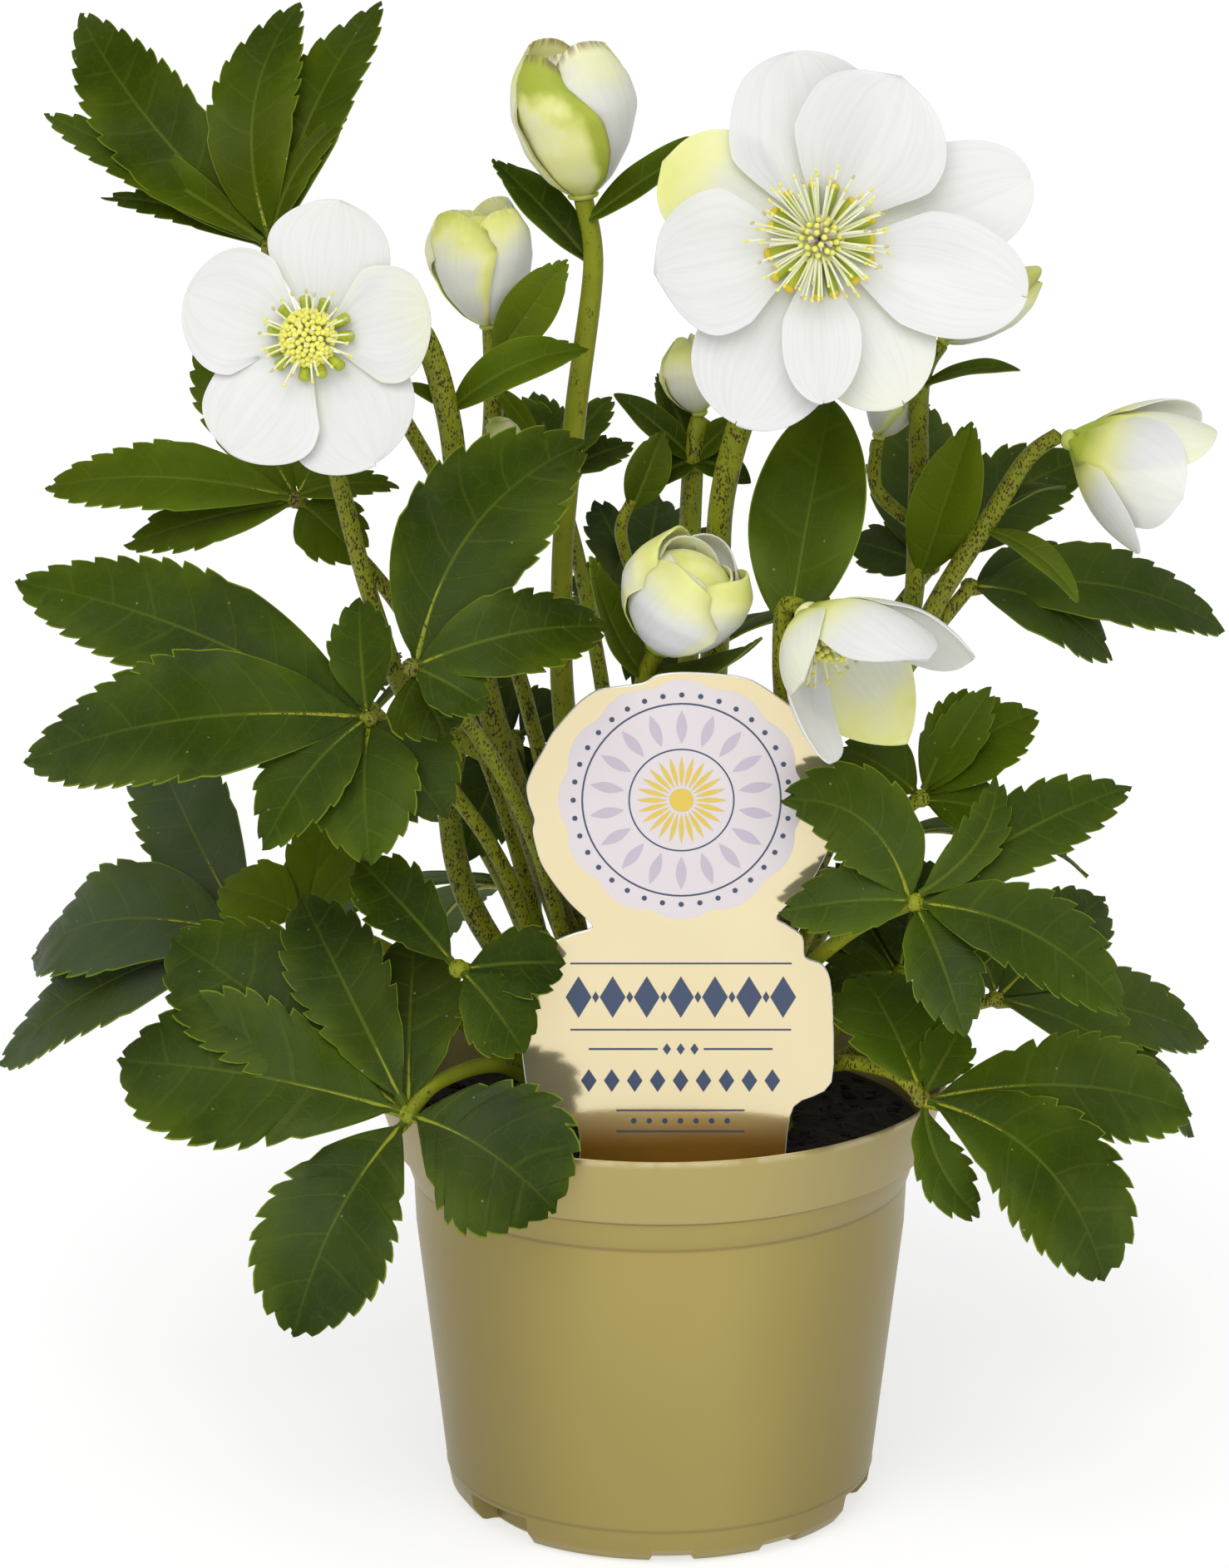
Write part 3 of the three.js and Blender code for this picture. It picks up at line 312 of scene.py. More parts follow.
# The card's outline in x and z
TAG_OUTLINE = [
  [4, 203.8], [-1.3, 203.2], [-4, 201.6], [-8.4, 200.8], [-13.8, 200], [-17.3, 197.8], [-19.1, 196],
  [-23.6, 190.6], [-25.6, 186.9], [-28.1, 182.3], [-29.3, 178.6], [-28.8, 174.9], [-27.6, 171.2],
  [-28, 168.4], [-26.4, 161.9], [-23.7, 157.3], [-20.1, 152.6], [-16.5, 149], [-15.3, 147], [-19.2, 145.7],
  [-22.8, 144.2], [-29.6, 140.4], [-29.8, 112], [-19.3, 103.4], [-18, 95], [-18, SOIL_TOP - TAG_FOOT],
  [26, SOIL_TOP - TAG_FOOT], [27, 95], [28.8, 106.4], [36.9, 112], [36.7, 132.9], [34.8, 138.6],
  [30.9, 140.4], [30.3, 145.1], [26.7, 147.8], [24.8, 149.8], [32, 157.3], [36.4, 166.6], [37.7, 175.9],
  [36.2, 185.1], [32.4, 191.6], [27.2, 196.4], [19.1, 202], [12, 203.4],
]

ROSETTE = (4, 175.6)  # middle of the card's round print, x and z
ROSETTE_RADIUS = 26.6
INK = 0.015  # thickness of each layer of print
INK_STEP = 0.02

# ---------------------------------------------------------------- shades

# Each leaf: how light its green is (-1 to 1), its share of fresh yellow-green or, below 0, of a blue-green
# painted sheen, and the purple on its stalk.
LEAF_SHADES = {
    "left_high": (0.1, 0.06, 0.95), "left_upper": (0.5, 0.14, 1.0), "left_broad": (0.05, -0.15, 1.0),
    "left_centre": (-0.25, -0.05, 0.9), "left_low_back": (0.6, -0.95, 0.6), "left_light": (0.7, 0.4, 0.3),
    "pot_left": (-0.2, -0.2, 0.1), "tag_left": (0.1, -0.1, 0.3), "tag_right": (0.4, -0.2, 0.3),
    "pot_right": (0.5, -0.1, 0.9), "inner_right": (-0.3, -0.1, 0.5), "right_low_back": (0.2, -0.3, 0.5),
    "right_mid": (0.8, 0.05, 0.6), "right_far": (0.5, -0.35, 0.6), "right_high": (0.1, -0.3, 0.7),
    "mid_back": (-0.2, -0.3, 0.6), "mid_low_back": (-0.3, -0.2, 0.7), "mid_left_back": (-0.1, -0.1, 0.6),
}
BACK_SHADE = (-0.1, -0.2, 0.6)

# Each stem: purple on it, then for each of its bracts how light and how fresh its green is.
STEM_SHADES = {
    "stem_big": (0.45, []), "stem_second": (0.85, [(0.3, 0.15), (0.2, 0.3)]),
    "stem_third": (0.6, [(0.3, 0.1)]), "stem_nodding": (0.9, [(0.3, 0.3), (0.1, 0)]),
    "stem_bud_tall": (0.15, [(-0.2, 0), (0.2, 0.1)]),
    "stem_bud_green": (0.55, [(0.9, 0.4), (0.4, 0.3)]), "stem_bud_low": (0.45, [(0.3, 0.2), (0.2, 0.15)]),
    "stem_bud_centre": (0.4, [(-0.3, 0.05), (-0.3, 0), (0, 0.1), (-0.2, 0), (-0.2, 0), (0, 0.15)]),
    "stem_bud_right": (0.5, [(1, 0.26), (0.3, 0.1)]),
}

# Each petal's yellow-green flush: towards its tip and rim, and all over.
FLUSH = {
    "bloom_big": [(0, 0), (0, 0.02), (0.03, 0), (0, 0), (0.12, 0.08), (0, 0), (0, 0), (0, 0), (0.5, 0.12)],
    "bloom_second": [(0.1, 0), (0.22, 0.03), (0.08, 0), (0.06, 0), (0.06, 0)],
    "bloom_third": [(0, 0.02), (0.02, 0.04), (0.3, 0.4), (0, 0), (0.12, 0.12)],
    "bloom_nodding": [(0.05, 0.3), (0.05, 0.2), (0, 0.1), (0, 0.04), (0, 0.14)],
}

# Each bud: which way its seams are turned, how far they wind, how dark its petals' edges are, each outer
# petal's green at its tip and rim, the share of it all over, and the green of those inside.
BUD_SHADES = {
    "bud_tall": (0.25, -0.7, 0.8, [0.28, 0.4, 0.4, 1.1], 0.5, 0.35),
    "bud_green": (0.9, 0.5, 0.2, [0.3, 0.35, 0.6, 0.5], 0.4, 0.35),
    "bud_small": (0, 0.5, 0.2, [0.6, 0.6, 0.6], 0.5, 0.4),
    "bud_low": (0.42, 0.4, 0, [0.6, 0.55, 0.6, 0.2], 0.08, 0.22),
    "bud_centre": (0.2, 0.5, 0.1, [0.5, 0.6, 0.5], 0.6, 0.4),
    "bud_crescent": (0.5, 0.5, 0, [0.55, 0.45, 0.6], 0.55, 0.4),
    "bud_right": (0.3, 0.5, 0.1, [0.6, 0.5, 0.6], 0.55, 0.4),
}

# Base colours, linear red, green and blue
LEAF_DARK = (0.006, 0.013, 0.0005)
LEAF_LIGHT = (0.046, 0.079, 0.0010)
LEAF_OLIVE = (0.048, 0.066, 0.0015)
# blue-green of the leaves' painted sheen
LEAF_SHEEN_BLUE = (0.060, 0.082, 0.042)
LEAF_FRESH = (0.16, 0.22, 0.012)
LEAF_VEIN = (0.14, 0.18, 0.02)
LEAF_RIM = (0.17, 0.23, 0.012)
LEAF_UNDER = (0.08, 0.115, 0.04)
LEAF_FLECK = (0.45, 0.5, 0.34)
STALK_LIGHT = (0.28, 0.30, 0.010)
STALK_DARK = (0.13, 0.16, 0.006)
STALK_PURPLE = (0.045, 0.020, 0.014)
STALK_SPECKLE = (0.040, 0.019, 0.010)
PETAL_WHITE = (0.72, 0.72, 0.705)
PETAL_SHADE = (0.68, 0.685, 0.655)
PETAL_CREAM = (0.82, 0.83, 0.27)
PETAL_GREEN = (0.36, 0.42, 0.045)
PETAL_EDGE = (0.20, 0.12, 0.09)
POT_DEEP = (0.34, 0.265, 0.078)
POT_GOLD = (0.43, 0.345, 0.112)
POT_PALE = (0.60, 0.53, 0.33)
# dark of the pot's specks of dirt and of the painted shade in its grooves; then each groove's painted shade
POT_DIRT_AND_SHADE = (0.10, 0.08, 0.05)
POT_GROOVE_SHADES = ((0.0838, 0.5), (0.0768, 0.4), (0.0082, 0.3))  # height in metres, and how dark it is
PEAT_DARK = (0.006, 0.005, 0.004)
PEAT_BROWN = (0.035, 0.022, 0.014)
PEAT_FIBRE = (0.10, 0.06, 0.03)
CARD_DEEP = (0.76, 0.64, 0.38)
CARD_GOLD = (0.84, 0.74, 0.49)
# orange-gold of the card's painted reflection
CARD_REFLECTION_AMBER = (0.42, 0.25, 0.05)
FLOOR_DEEP = (0.44, 0.44, 0.44)
FLOOR_PALE = (0.46, 0.46, 0.46)

# ---------------------------------------------------------------- camera and light

PHOTO_HEIGHT = 1885
CAMERA = {"pitch": 14.68, "target": (-10.4, 0, 167.3), "distance": 1200, "focal_pixels": 6456}
WORLD_STRENGTH = 0.5
# Broad, far lamps: name, where each shines from, its width in degrees and its strength
LIGHTS = [
    ("key", (-0.3, -1.0, 0.95), 50, 1.5),
    ("fill", (0.35, -1.0, 0.6), 60, 0.6),
]

# ---------------------------------------------------------------- small vector tools


def vec(*values):
    return np.array(values, dtype=float)


def unit(a):
    a = np.asarray(a, dtype=float)
    return a / np.linalg.norm(a, axis=-1, keepdims=True)


def smooth(a, low, high):
    """0 below low, 1 above high, eased between."""
    t = np.clip((np.asarray(a, dtype=float) - low) / (high - low), 0, 1)
    return t * t * (3 - 2 * t)


def ripple(share, beats, shift):
    return np.sin(TURN * (share * beats + shift))


def frame_of(axis):
    """Right and up for a viewer whom the axis points at."""
    right = unit(np.cross(vec(0, 0, 1), axis))
    return right, np.cross(axis, right)


def around(angle, right, up):
    """Unit vectors at an angle, or at each of several, counted from right towards up."""
    angle = np.asarray(angle)[..., None]
    return np.cos(angle) * right + np.sin(angle) * up


def circle(angle):
    return around(angle, vec(1, 0), vec(0, 1))


def turned(v, axis, angle):
    """v turned about a unit axis by an angle in radians; both may be arrays that broadcast."""
    angle = np.asarray(angle)[..., None]
    along = axis * (v @ axis)[..., None]
    return v * np.cos(angle) + np.cross(axis, v) * np.sin(angle) + along * (1 - np.cos(angle))


def hermite(before, start, end, after, t, pull=0.5):
    """The place at t between start and end, on a smooth line that also passes before and after."""
    m1, m2 = (end - before) * pull, (after - start) * pull
    t2, t3 = t * t, t * t * t
    return start * (2 * t3 - 3 * t2 + 1) + m1 * (t3 - 2 * t2 + t) + end * (3 * t2 - 2 * t3) + m2 * (t3 - t2)


# ---------------------------------------------------------------- meshes


def add_object(name, data):
    obj = bpy.data.objects.new(name, data)
    bpy.context.scene.collection.objects.link(obj)
    return obj


class Form:
    """A mesh being made, in millimetres.

    Each point carries three triples for the materials: sheet (across -1 to 1, along 0 to 1, upper side 1
    or under side -1), spot (its place on the flattened sheet in centimetres, and a seed), and tint, which
    each material reads in its own way.
    """

    def __init__(self):
        self.points, self.sheet, self.spot, self.tint = [], [], [], []
        self.faces, self.slots = [], []
        self.total = 0

    def add(self, points, faces, sheet=(0, 0, 1), spot=(0, 0, 0), tint=(0, 0, 0), slot=0):
        points = np.asarray(points, dtype=float).reshape(-1, 3)
        for store, values in ((self.sheet, sheet), (self.spot, spot), (self.tint, tint)):
            values = np.asarray(values, dtype=float)
            store.append(np.broadcast_to(values.reshape(-1, 3), (len(points), 3)))
        for block in faces:
            block = np.asarray(block) + self.total
            self.faces.extend(block.tolist())
            self.slots.extend([slot] * len(block))
        self.points.append(points)
        self.total += len(points)

    def piece(self, name, looks, finish, *nodes, crease=48):
        """The finished Blender object, which takes the place of the CAD nodes and hides them. Its finish is
        not used.
        """
        mesh = bpy.data.meshes.new(name)
        mesh.from_pydata((np.concatenate(self.points) * MM).tolist(), [], self.faces)
        for title in ("sheet", "spot", "tint"):
            layer = mesh.attributes.new(title, "FLOAT_VECTOR", "POINT")
            values = np.concatenate(getattr(self, title)).astype(np.float32)
            layer.data.foreach_set("vector", values.ravel())
        mesh.polygons.foreach_set("material_index", self.slots)
        mesh.shade_smooth()
        mesh.set_sharp_from_angle(angle=math.radians(crease))
        for look in looks:
            mesh.materials.append(look)
        obj = add_object(name, mesh)
        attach(obj, "root")
        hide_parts(*nodes)
        return obj


def strip(a, b):
    """Quads between two closed loops of point numbers that run the same way."""
    return np.stack([a, np.roll(a, -1), np.roll(b, -1), b], axis=1)


def hoops(grid):
    """Quads between each closed row of point numbers and the next."""
    return [strip(a, b) for a, b in zip(grid[:-1], grid[1:])]


def sheet_quads(grid):
    """Quads between the neighbours in a grid of point numbers."""
    corners = [grid[:-1, :-1], grid[:-1, 1:], grid[1:, 1:], grid[1:, :-1]]
    return np.stack(corners, axis=-1).reshape(-1, 4)


def lay_plate(form, middle, up, thickness, sheet, spot, tint, slot=0):
    """A thin closed plate from a grid of middle points: an upper side, an under side and the edge between."""
    rows, cols = middle.shape[:2]
    half = np.asarray(thickness)[..., None] / 2
    count = rows * cols
    top = np.arange(count).reshape(rows, cols)
    quads = sheet_quads(top)
    edge = np.concatenate([top[0], top[1:, -1], top[-1, -2::-1], top[-2:0:-1, 0]])
    points = np.concatenate([(middle + up * half).reshape(-1, 3), (middle - up * half).reshape(-1, 3)])
    upper = np.dstack([*sheet, np.ones(middle.shape[:2])]).reshape(-1, 3)
    under = upper * (1, 1, -1)
    places = np.dstack([*spot]).reshape(-1, 3)
    faces = [quads, quads[:, ::-1] + count, strip(edge, edge + count)[:, ::-1]]
    form.add(points, faces, np.concatenate([upper, under]), np.concatenate([places, places]), tint, slot)


def smooth_path(points, per_span):
    """A smooth line through the points, and each of its places as a share of the spans."""
    points = [np.asarray(p, dtype=float) for p in points]
    spans = len(points) - 1
    line, shares = [], []
    for span in range(spans):
        steps = per_span if span > 1 or spans < 5 else max(2, per_span // 3)
        for i in range(steps + (span == spans - 1)):
            t = i / steps
            near = [points[min(max(span + k, 0), spans)] for k in (-1, 0, 1, 2)]
            line.append(hermite(*near, t))
            shares.append((span + t) / spans)
    return np.array(line), np.array(shares)


def lay_tube(form, line, radii, sides, tint, slot=0, ribs=0.0, rib_count=3, seed=0.0):
    """A round tube along a line, its section carried without twist, with rounded-over ends."""
    line = np.asarray(line, dtype=float)
    radii = np.broadcast_to(radii, len(line)).astype(float)
    ahead = unit(np.gradient(line, axis=0))
    slant = vec(0.31, 0.87, 0.12)  # which no tube follows
    across = unit(np.cross(ahead[0], slant))
    angles = TURN * np.arange(sides) / sides
    swell = 1 + ribs * np.cos(rib_count * angles + seed)
    along = np.concatenate([[0], np.cumsum(np.linalg.norm(np.diff(line, axis=0), axis=1))])
    rings = []
    for centre, direction, radius in zip(line, ahead, radii):
        across = unit(across - direction * across.dot(direction))
        beside = np.cross(direction, across)
        rings.append(centre + radius * swell[:, None] * around(angles, across, beside))
    count = len(line)
    grid = np.arange(count * sides).reshape(count, sides)
    ends = np.array([line[0] - ahead[0] * radii[0] * 0.4, line[-1] + ahead[-1] * radii[-1] * 0.4])
    last = count * sides

    def cap(ring, tip):
        return np.stack([ring, np.roll(ring, -1), np.full(sides, tip)], axis=1)

    faces = [*hoops(grid), cap(grid[0], last)[:, ::-1], cap(grid[-1], last + 1)]
    sheet = np.zeros((last + 2, 3))
    sheet[:last, 0] = np.tile(np.arange(sides) / sides, count)
    sheet[:last, 1] = np.repeat(along / along[-1], sides)
    sheet[last + 1, 1] = 1
    spot = np.zeros((last + 2, 3))
    spot[:last, 1] = np.repeat(along / 10, sides)
    spot[:, 2] = seed
    if np.ndim(tint) == 2:
        tint = np.concatenate([np.repeat(tint, sides, axis=0), tint[[0, -1]]])
    form.add(np.concatenate([*rings, ends]), faces, sheet, spot, tint, slot)


def lay_ball(form, centre, radii, axis, tint=(0, 0, 0), slot=0, rings=7, sides=10):
    """An egg-shaped ball with a small flat at each end: radii across the axis and along it."""
    axis = unit(axis)
    nudge = vec(0.001, 0.002, 0)  # an upright axis has no right of its own
    right, up = frame_of(axis + nudge)
    flat = 0.12
    lift = np.linspace(flat, math.pi - flat, rings)
    turn = TURN * np.arange(sides) / sides
    across, along = radii
    rim = around(turn, right, up)
    rows = [centre - axis * along * math.cos(a) + across * math.sin(a) * rim for a in lift]
    grid = np.arange(rings * sides).reshape(rings, sides)
    faces = [*hoops(grid), grid[0][None, ::-1], grid[-1][None]]
    sheet = np.zeros((rings * sides, 3))
    sheet[:, 1] = np.repeat(np.arange(rings) / (rings - 1), sides)
    form.add(np.concatenate(rows), faces, sheet, (0, 0, 0), tint, slot)


def lay_prism(form, outline, front, back, slot=0):
    """A flat upright shape with its outline in x and z, between two depths in y."""
    points = np.concatenate([np.insert(outline, 1, y, axis=1) for y in (front, back)])
    ring = np.arange(len(outline))
    far = ring + len(ring)
    faces = [ring[None], far[None, ::-1], strip(ring, far)[:, ::-1]]
    form.add(points, faces, spot=points[:, [0, 2, 1]] / 10, slot=slot)


# ---------------------------------------------------------------- leaflets, bracts and petals


def oval(start, skew, blunt):
    """A blade's half width by the share along it. A high skew moves its widest place towards the tip,
    and a low power blunt makes its ends round."""
    return lambda t: np.sin(np.pi * np.clip((t - start) / (1 - start), 0, 1) ** skew) ** blunt


def broad_petal(t):
    return np.sqrt(np.maximum(0, 1 - (2 * t**1.35 - 1) ** 2)) * (0.45 + 0.55 * np.minimum(1, t * 2.2))


OUTLINES = {
    "leaflet": oval(0.01, 1.04, 0.69),
    "round": oval(0.03, 1.36, 0.6),
    "bract": oval(0, 0.9, 0.7),
    "petal": broad_petal,
    "pointed": oval(0, 0.95, 0.8),
}


def spine(root, tip, face, arch, bend=0.0):
    """The line up the middle of a blade, as a function of the share along it: place, side and up."""
    length = np.linalg.norm(tip - root)
    middle = (root + tip) / 2 + (face * arch + unit(np.cross(tip - root, face)) * bend) * 2 * length

    def at(t):
        t = np.asarray(t, dtype=float)[..., None]
        u = 1 - t
        place = root * u * u + middle * 2 * u * t + tip * t * t
        ahead = unit((middle - root) * u + (tip - middle) * t)
        side = unit(np.cross(ahead, face))
        return place, side, np.cross(side, ahead)

    return at


TOOTH_SHARES = (0.07, 0.38, 0.72, 1.0)
EDGE_STEPS = 300  # along a blade's plain edge, before its teeth are cut


def toothed_rows(tooth_from, teeth, smooth_rows):
    """Places along a blade's edge with four to each tooth, and how far each is up its tooth."""
    places = list(np.linspace(0, tooth_from, smooth_rows, endpoint=False))
    climb = [1.0] * smooth_rows
    for k in range(teeth):
        for share in TOOTH_SHARES:
            places.append(tooth_from + (k + share) / teeth * (1 - tooth_from))
            climb.append(share)
    return np.array(places), np.array(climb)


def blade_edge(outline, width, length, places, climb, teeth, depth, tooth_from, rng):
    """One side's edge, flattened: distance from the midrib and along it, with its teeth cut in."""
    t = (1 - np.cos(np.pi * np.linspace(0, 1, EDGE_STEPS))) / 2
    x = np.maximum(width / 2 * OUTLINES[outline](t), 0.8 * (1 - t) + 0.12)
    y = t * length
    arc = np.concatenate([[0], np.cumsum(np.hypot(np.diff(x), np.diff(y)))])
    share = arc / arc[-1]
    apart = arc + 1e-9 * np.arange(EDGE_STEPS)
    ex, ey, dx, dy = (
        np.interp(places, share, values) for values in (x, y, np.gradient(x, apart), np.gradient(y, apart))
    )
    if teeth:
        number = ((places - tooth_from) / (1 - tooth_from) * teeth - 1e-6).astype(int)
        number = np.clip(number, 0, teeth - 1)
        sizes = np.array([rng.uniform(0.65, 1.2) for _ in range(teeth)])
        sizes[0] *= 0.5
        bite = depth * sizes[number] * (places > tooth_from)
        cut = bite * (1 - climb) ** 1.6
        lean = bite * 0.35 * climb**2 * (places < 0.999)
        ex, ey = ex - cut * dy + lean * dx, ey + cut * dx + lean * dy
    return np.maximum(ex, 0.1), np.minimum(ey, length + 0.6)


def lay_blade(form, root, tip, face, arch, width, outline, rng, *, bend=0.0, teeth=0, depth=0.0,
              tooth_from=0.38, fold=0.14, veins=7, quilt=0.3, wave=0.8, curl=0.03, forward=0.6, cols=7,
              smooth_rows=14, tint=(0, 0), rib_tint=(0, 0, 0), rib=1.0):
    """A leafy blade: two halves quilted between their veins, on a sunken midrib that stands out below."""
    length = float(np.linalg.norm(tip - root))
    if teeth:
        places, climb = toothed_rows(tooth_from, teeth, smooth_rows)
    else:
        places = np.sin(np.pi / 2 * np.linspace(0, 1, smooth_rows * 2))
        climb = np.ones(len(places))
    # the two edges, with their teeth out of step
    shift = 0.4 * (1 - tooth_from) / teeth if teeth else 0
    sides = []
    for offset in (0, shift):
        moved = places + offset * (places > tooth_from) * (places < 0.97)
        sides.append(blade_edge(outline, width, length, moved, climb, teeth, depth, tooth_from, rng))
    # where each row of points crosses the midrib, and from there out to both edges
    rib_line = np.mean([y - forward * x for x, y in sides], axis=0)
    rib_line = np.maximum.accumulate(np.maximum(rib_line, 0) + 1e-3 * np.arange(len(places)))
    rib_line = np.minimum(rib_line * length / rib_line[-1], length)
    share = np.linspace(0, 1, cols + 1)
    x, y, across = [], [], []
    for sign, (edge_x, edge_y) in zip((-1, 1), sides):
        part = share[::-1] if sign < 0 else share[1:]
        x.append(sign * edge_x[:, None] * part)
        y.append(rib_line[:, None] + (edge_y - rib_line)[:, None] * part**1.3)
        across.append(np.broadcast_to(sign * part, x[-1].shape))
    x, y, across = (np.hstack(a) for a in (x, y, across))
    along = np.broadcast_to(places[:, None], x.shape)
    half = width / 2
    inner = np.abs(across)
    phase = along * veins + 0.5 * (across > 0)
    # folded up along the midrib, which is sunk, then quilted, waved and curled down at the rim
    lift = np.abs(x) * math.sin(fold)
    lift -= 0.05 * half**0.5 * np.exp(-((x / 1.4) ** 2)) * (1 - along)
    lift += quilt * width / 30 * np.abs(np.sin(np.pi * phase)) * np.sin(np.pi * np.minimum(1, inner * 1.1))
    beats, phase_shift = rng.uniform(1.6, 2.6), rng.random()
    sway = ripple(along, beats, phase_shift + 0.3 * (across > 0))
    lift += wave * width / 30 * sway * inner**2.5 * smooth(along, 0.15, 0.5)
    lift -= curl * half * inner**4
    line_of = spine(root, tip, face, arch, bend)
    place, side, up = line_of(y / length)
    middle = place + side * (x * math.cos(fold))[..., None] + up * lift[..., None]
    thickness = BLADE_THICKNESS * (1 - 0.5 * inner**8) * (1 + 1.2 * smooth(-along, -0.12, 0))
    seed = rng.random()
    spot = (x / 10, y / 10, np.full(x.shape, seed))
    lay_plate(form, middle, up, thickness, (across, along), spot, (*tint, veins))
    lay_rib(form, line_of, max(0.5, min(1.25, width * 0.05)) * rib, rib_tint, seed)


def lay_rib(form, line_of, thick, tint, seed):
    """The part of a blade's midrib that stands out below it and dies out towards the tip."""
    t = np.linspace(-0.02, 0.84, 15)
    place, _, up = line_of(t)
    radii = thick * (1 - 0.8 * np.clip(t, 0, 1)) * (0.75 + 0.25 * smooth(-t, -0.2, 0))
    lay_tube(form, place - up * (0.1 + radii * 0.55)[:, None], radii, 8, tint, 1, seed=seed)


def lay_petal(form, root, tip, face, arch, width, rng, heart, axis, *, fold, wrap, flush, outline, ruffle,
              cols=11, rows=30):
    """A broad petal: faint furrows fan out of its claw, its rim is slightly uneven, and wrap curves it
    round the bloom's axis."""
    length = float(np.linalg.norm(tip - root))
    t = np.sin(np.pi / 2 * np.linspace(0, 1, rows))
    half = np.maximum(width / 2 * OUTLINES[outline](t), 0.9 * (1 - t) + 0.15)
    share = np.linspace(-1, 1, 2 * cols + 1)
    share = np.sign(share) * np.abs(share) ** 0.9
    along = np.broadcast_to(t[:, None], (rows, len(share)))
    across = np.broadcast_to(share, along.shape)
    inner = np.abs(across)
    bulge, shift = rng.uniform(0.02, 0.05), rng.random()
    x = half[:, None] * across * (1 + bulge * ripple(along, 1.3, shift + 0.3 * np.sign(across)))
    dome = 1 - 0.03 * inner**2 * ripple(along, 0.9, shift)
    y = along * length * dome
    lift = (np.sqrt(x * x + 6) - math.sqrt(6)) * math.sin(fold)
    furrows = 0.03 * np.cos(TURN * across * 2.6 + TURN * shift) * (1 - inner) * smooth(along, 0.05, 0.4)
    lift += furrows * (1 - smooth(along, 0.6, 1))
    waves = ripple(along, rng.uniform(1.0, 1.7), shift + 0.35 * (across > 0))
    lift += ruffle * width / 26 * waves * inner**2.4
    place, side, up = spine(root, tip, face, arch)(y / length)
    # carried round the axis by as much of its width as wrap says
    reach = place - heart
    reach = reach - axis * (reach @ axis)[..., None]
    turn = -wrap * x * math.cos(fold) / np.maximum(np.linalg.norm(reach, axis=-1), 4.5)
    place = place - reach + turned(reach, axis, turn)
    side, up = turned(side, axis, turn), turned(up, axis, turn)
    middle = place + side * (x * math.cos(fold) * (1 - wrap))[..., None] + up * lift[..., None]
    thickness = PETAL_THICKNESS * (1 - 0.5 * inner**6) * (1 + 1.0 * smooth(-along, -0.15, 0))
    spot = (x / 10, y / 10, np.full(x.shape, rng.random()))
    lay_plate(form, middle, up, thickness, (across, along), spot, (*flush, 0))


# ---------------------------------------------------------------- leaves


def rising(foot):
    """The straight start of a stalk or stem, from its root in the soil."""
    x, y = foot
    return [vec(x, y, SOIL_TOP - ROOT), vec(x, y, SOIL_TOP + 1), vec(x, y, SOIL_TOP + 7)]


def stalk_points(foot, hub, via):
    height = hub[2] - SOIL_TOP

    def between(share, rise):
        x, y = (foot[i] + (hub[i] - foot[i]) * share for i in (0, 1))
        return vec(x, y, SOIL_TOP + height * rise)

    middle = [vec(*p) for p in via] if via else [between(0.3, 0.55), between(0.66, 0.84)]
    return [*rising(foot), *middle, vec(*hub)]


def leaf(name, foot, hub, face, leaflets, via=None, outline="leaflet", tone=0.0, flush=0.0, purple=0.5,
         toothed=0.0):
    """One pedate leaf on its stalk, as one piece."""
    rng = random.Random(name)
    form = Form()
    centre, upward = vec(*hub), unit(face)
    line, shares = smooth_path(stalk_points(foot, hub, via), 9)
    radii = LEAF_STALK[0] + (LEAF_STALK[1] - LEAF_STALK[0]) * shares
    brown = np.clip(purple + 0.25 * smooth(shares, 0.75, 1) - 0.15 * smooth(shares, 0.2, 0.6), 0, 1)
    stalk_tint = np.stack([brown, np.full(len(shares), tone), shares], axis=1)
    lay_tube(form, line, radii, 12, stalk_tint, 1, ribs=0.05, rib_count=3, seed=rng.random())
    lay_ball(form, centre - upward * 0.5, (2.3, 1.5), upward, (brown[-1], tone, 1), 1)
    for i, (x, y, z, width, arch, *bend) in enumerate(leaflets):
        level = -1 if i % 2 == 0 else 1
        reach = vec(x, y, z)
        length = np.linalg.norm(reach)
        root = centre + reach * (0.5 * HUB_RADIUS / length) + upward * LAYER * level
        teeth = round(length * (0.085 + 0.03 * toothed) + width * 0.09)
        lay_blade(
            form, root, centre + reach, upward, arch + 0.02 * level, width, outline, rng,
            teeth=max(4, min(10, teeth)), depth=0.8 + width * (0.038 + 0.012 * toothed),
            tooth_from=0.42 - 0.12 * toothed, veins=round(4.5 + length / 18), bend=bend[0] if bend else 0.0,
            tint=(tone + rng.uniform(-0.3, 0.3), flush), rib_tint=(0.1 + purple * 0.35, tone + 0.3, 1),
            forward=0.75 - 0.25 * toothed,
        )
    return form.piece(f"leaf_{name}_blades", [LEAF_LOOK, STALK_LOOK], "leaf_green", f"leaf_{name}")


def fan_leaf(name, foot, hub, heading, rise, length):
    """A leaf at the back, laid out by a rule: five leaflets fanned round its heading."""
    out = around(math.radians(heading), vec(1, 0, 0), vec(0, 1, 0))
    face = unit(out * 0.45 + vec(0, 0, 1))
    forward = unit(out - face * out.dot(face))
    forward = unit(forward + face * rise)
    leaflets = []
    for angle in FAN_ANGLES:
        reach = length * (1 - 0.32 * abs(angle) / 100)
        leaflets.append([*(turned(forward, face, math.radians(angle)) * reach), reach * 0.32, 0.1])
    tone, flush, purple = BACK_SHADE
    return leaf(name, foot, hub, face, leaflets, tone=tone, flush=flush, purple=purple)


# ---------------------------------------------------------------- flower stems with bracts


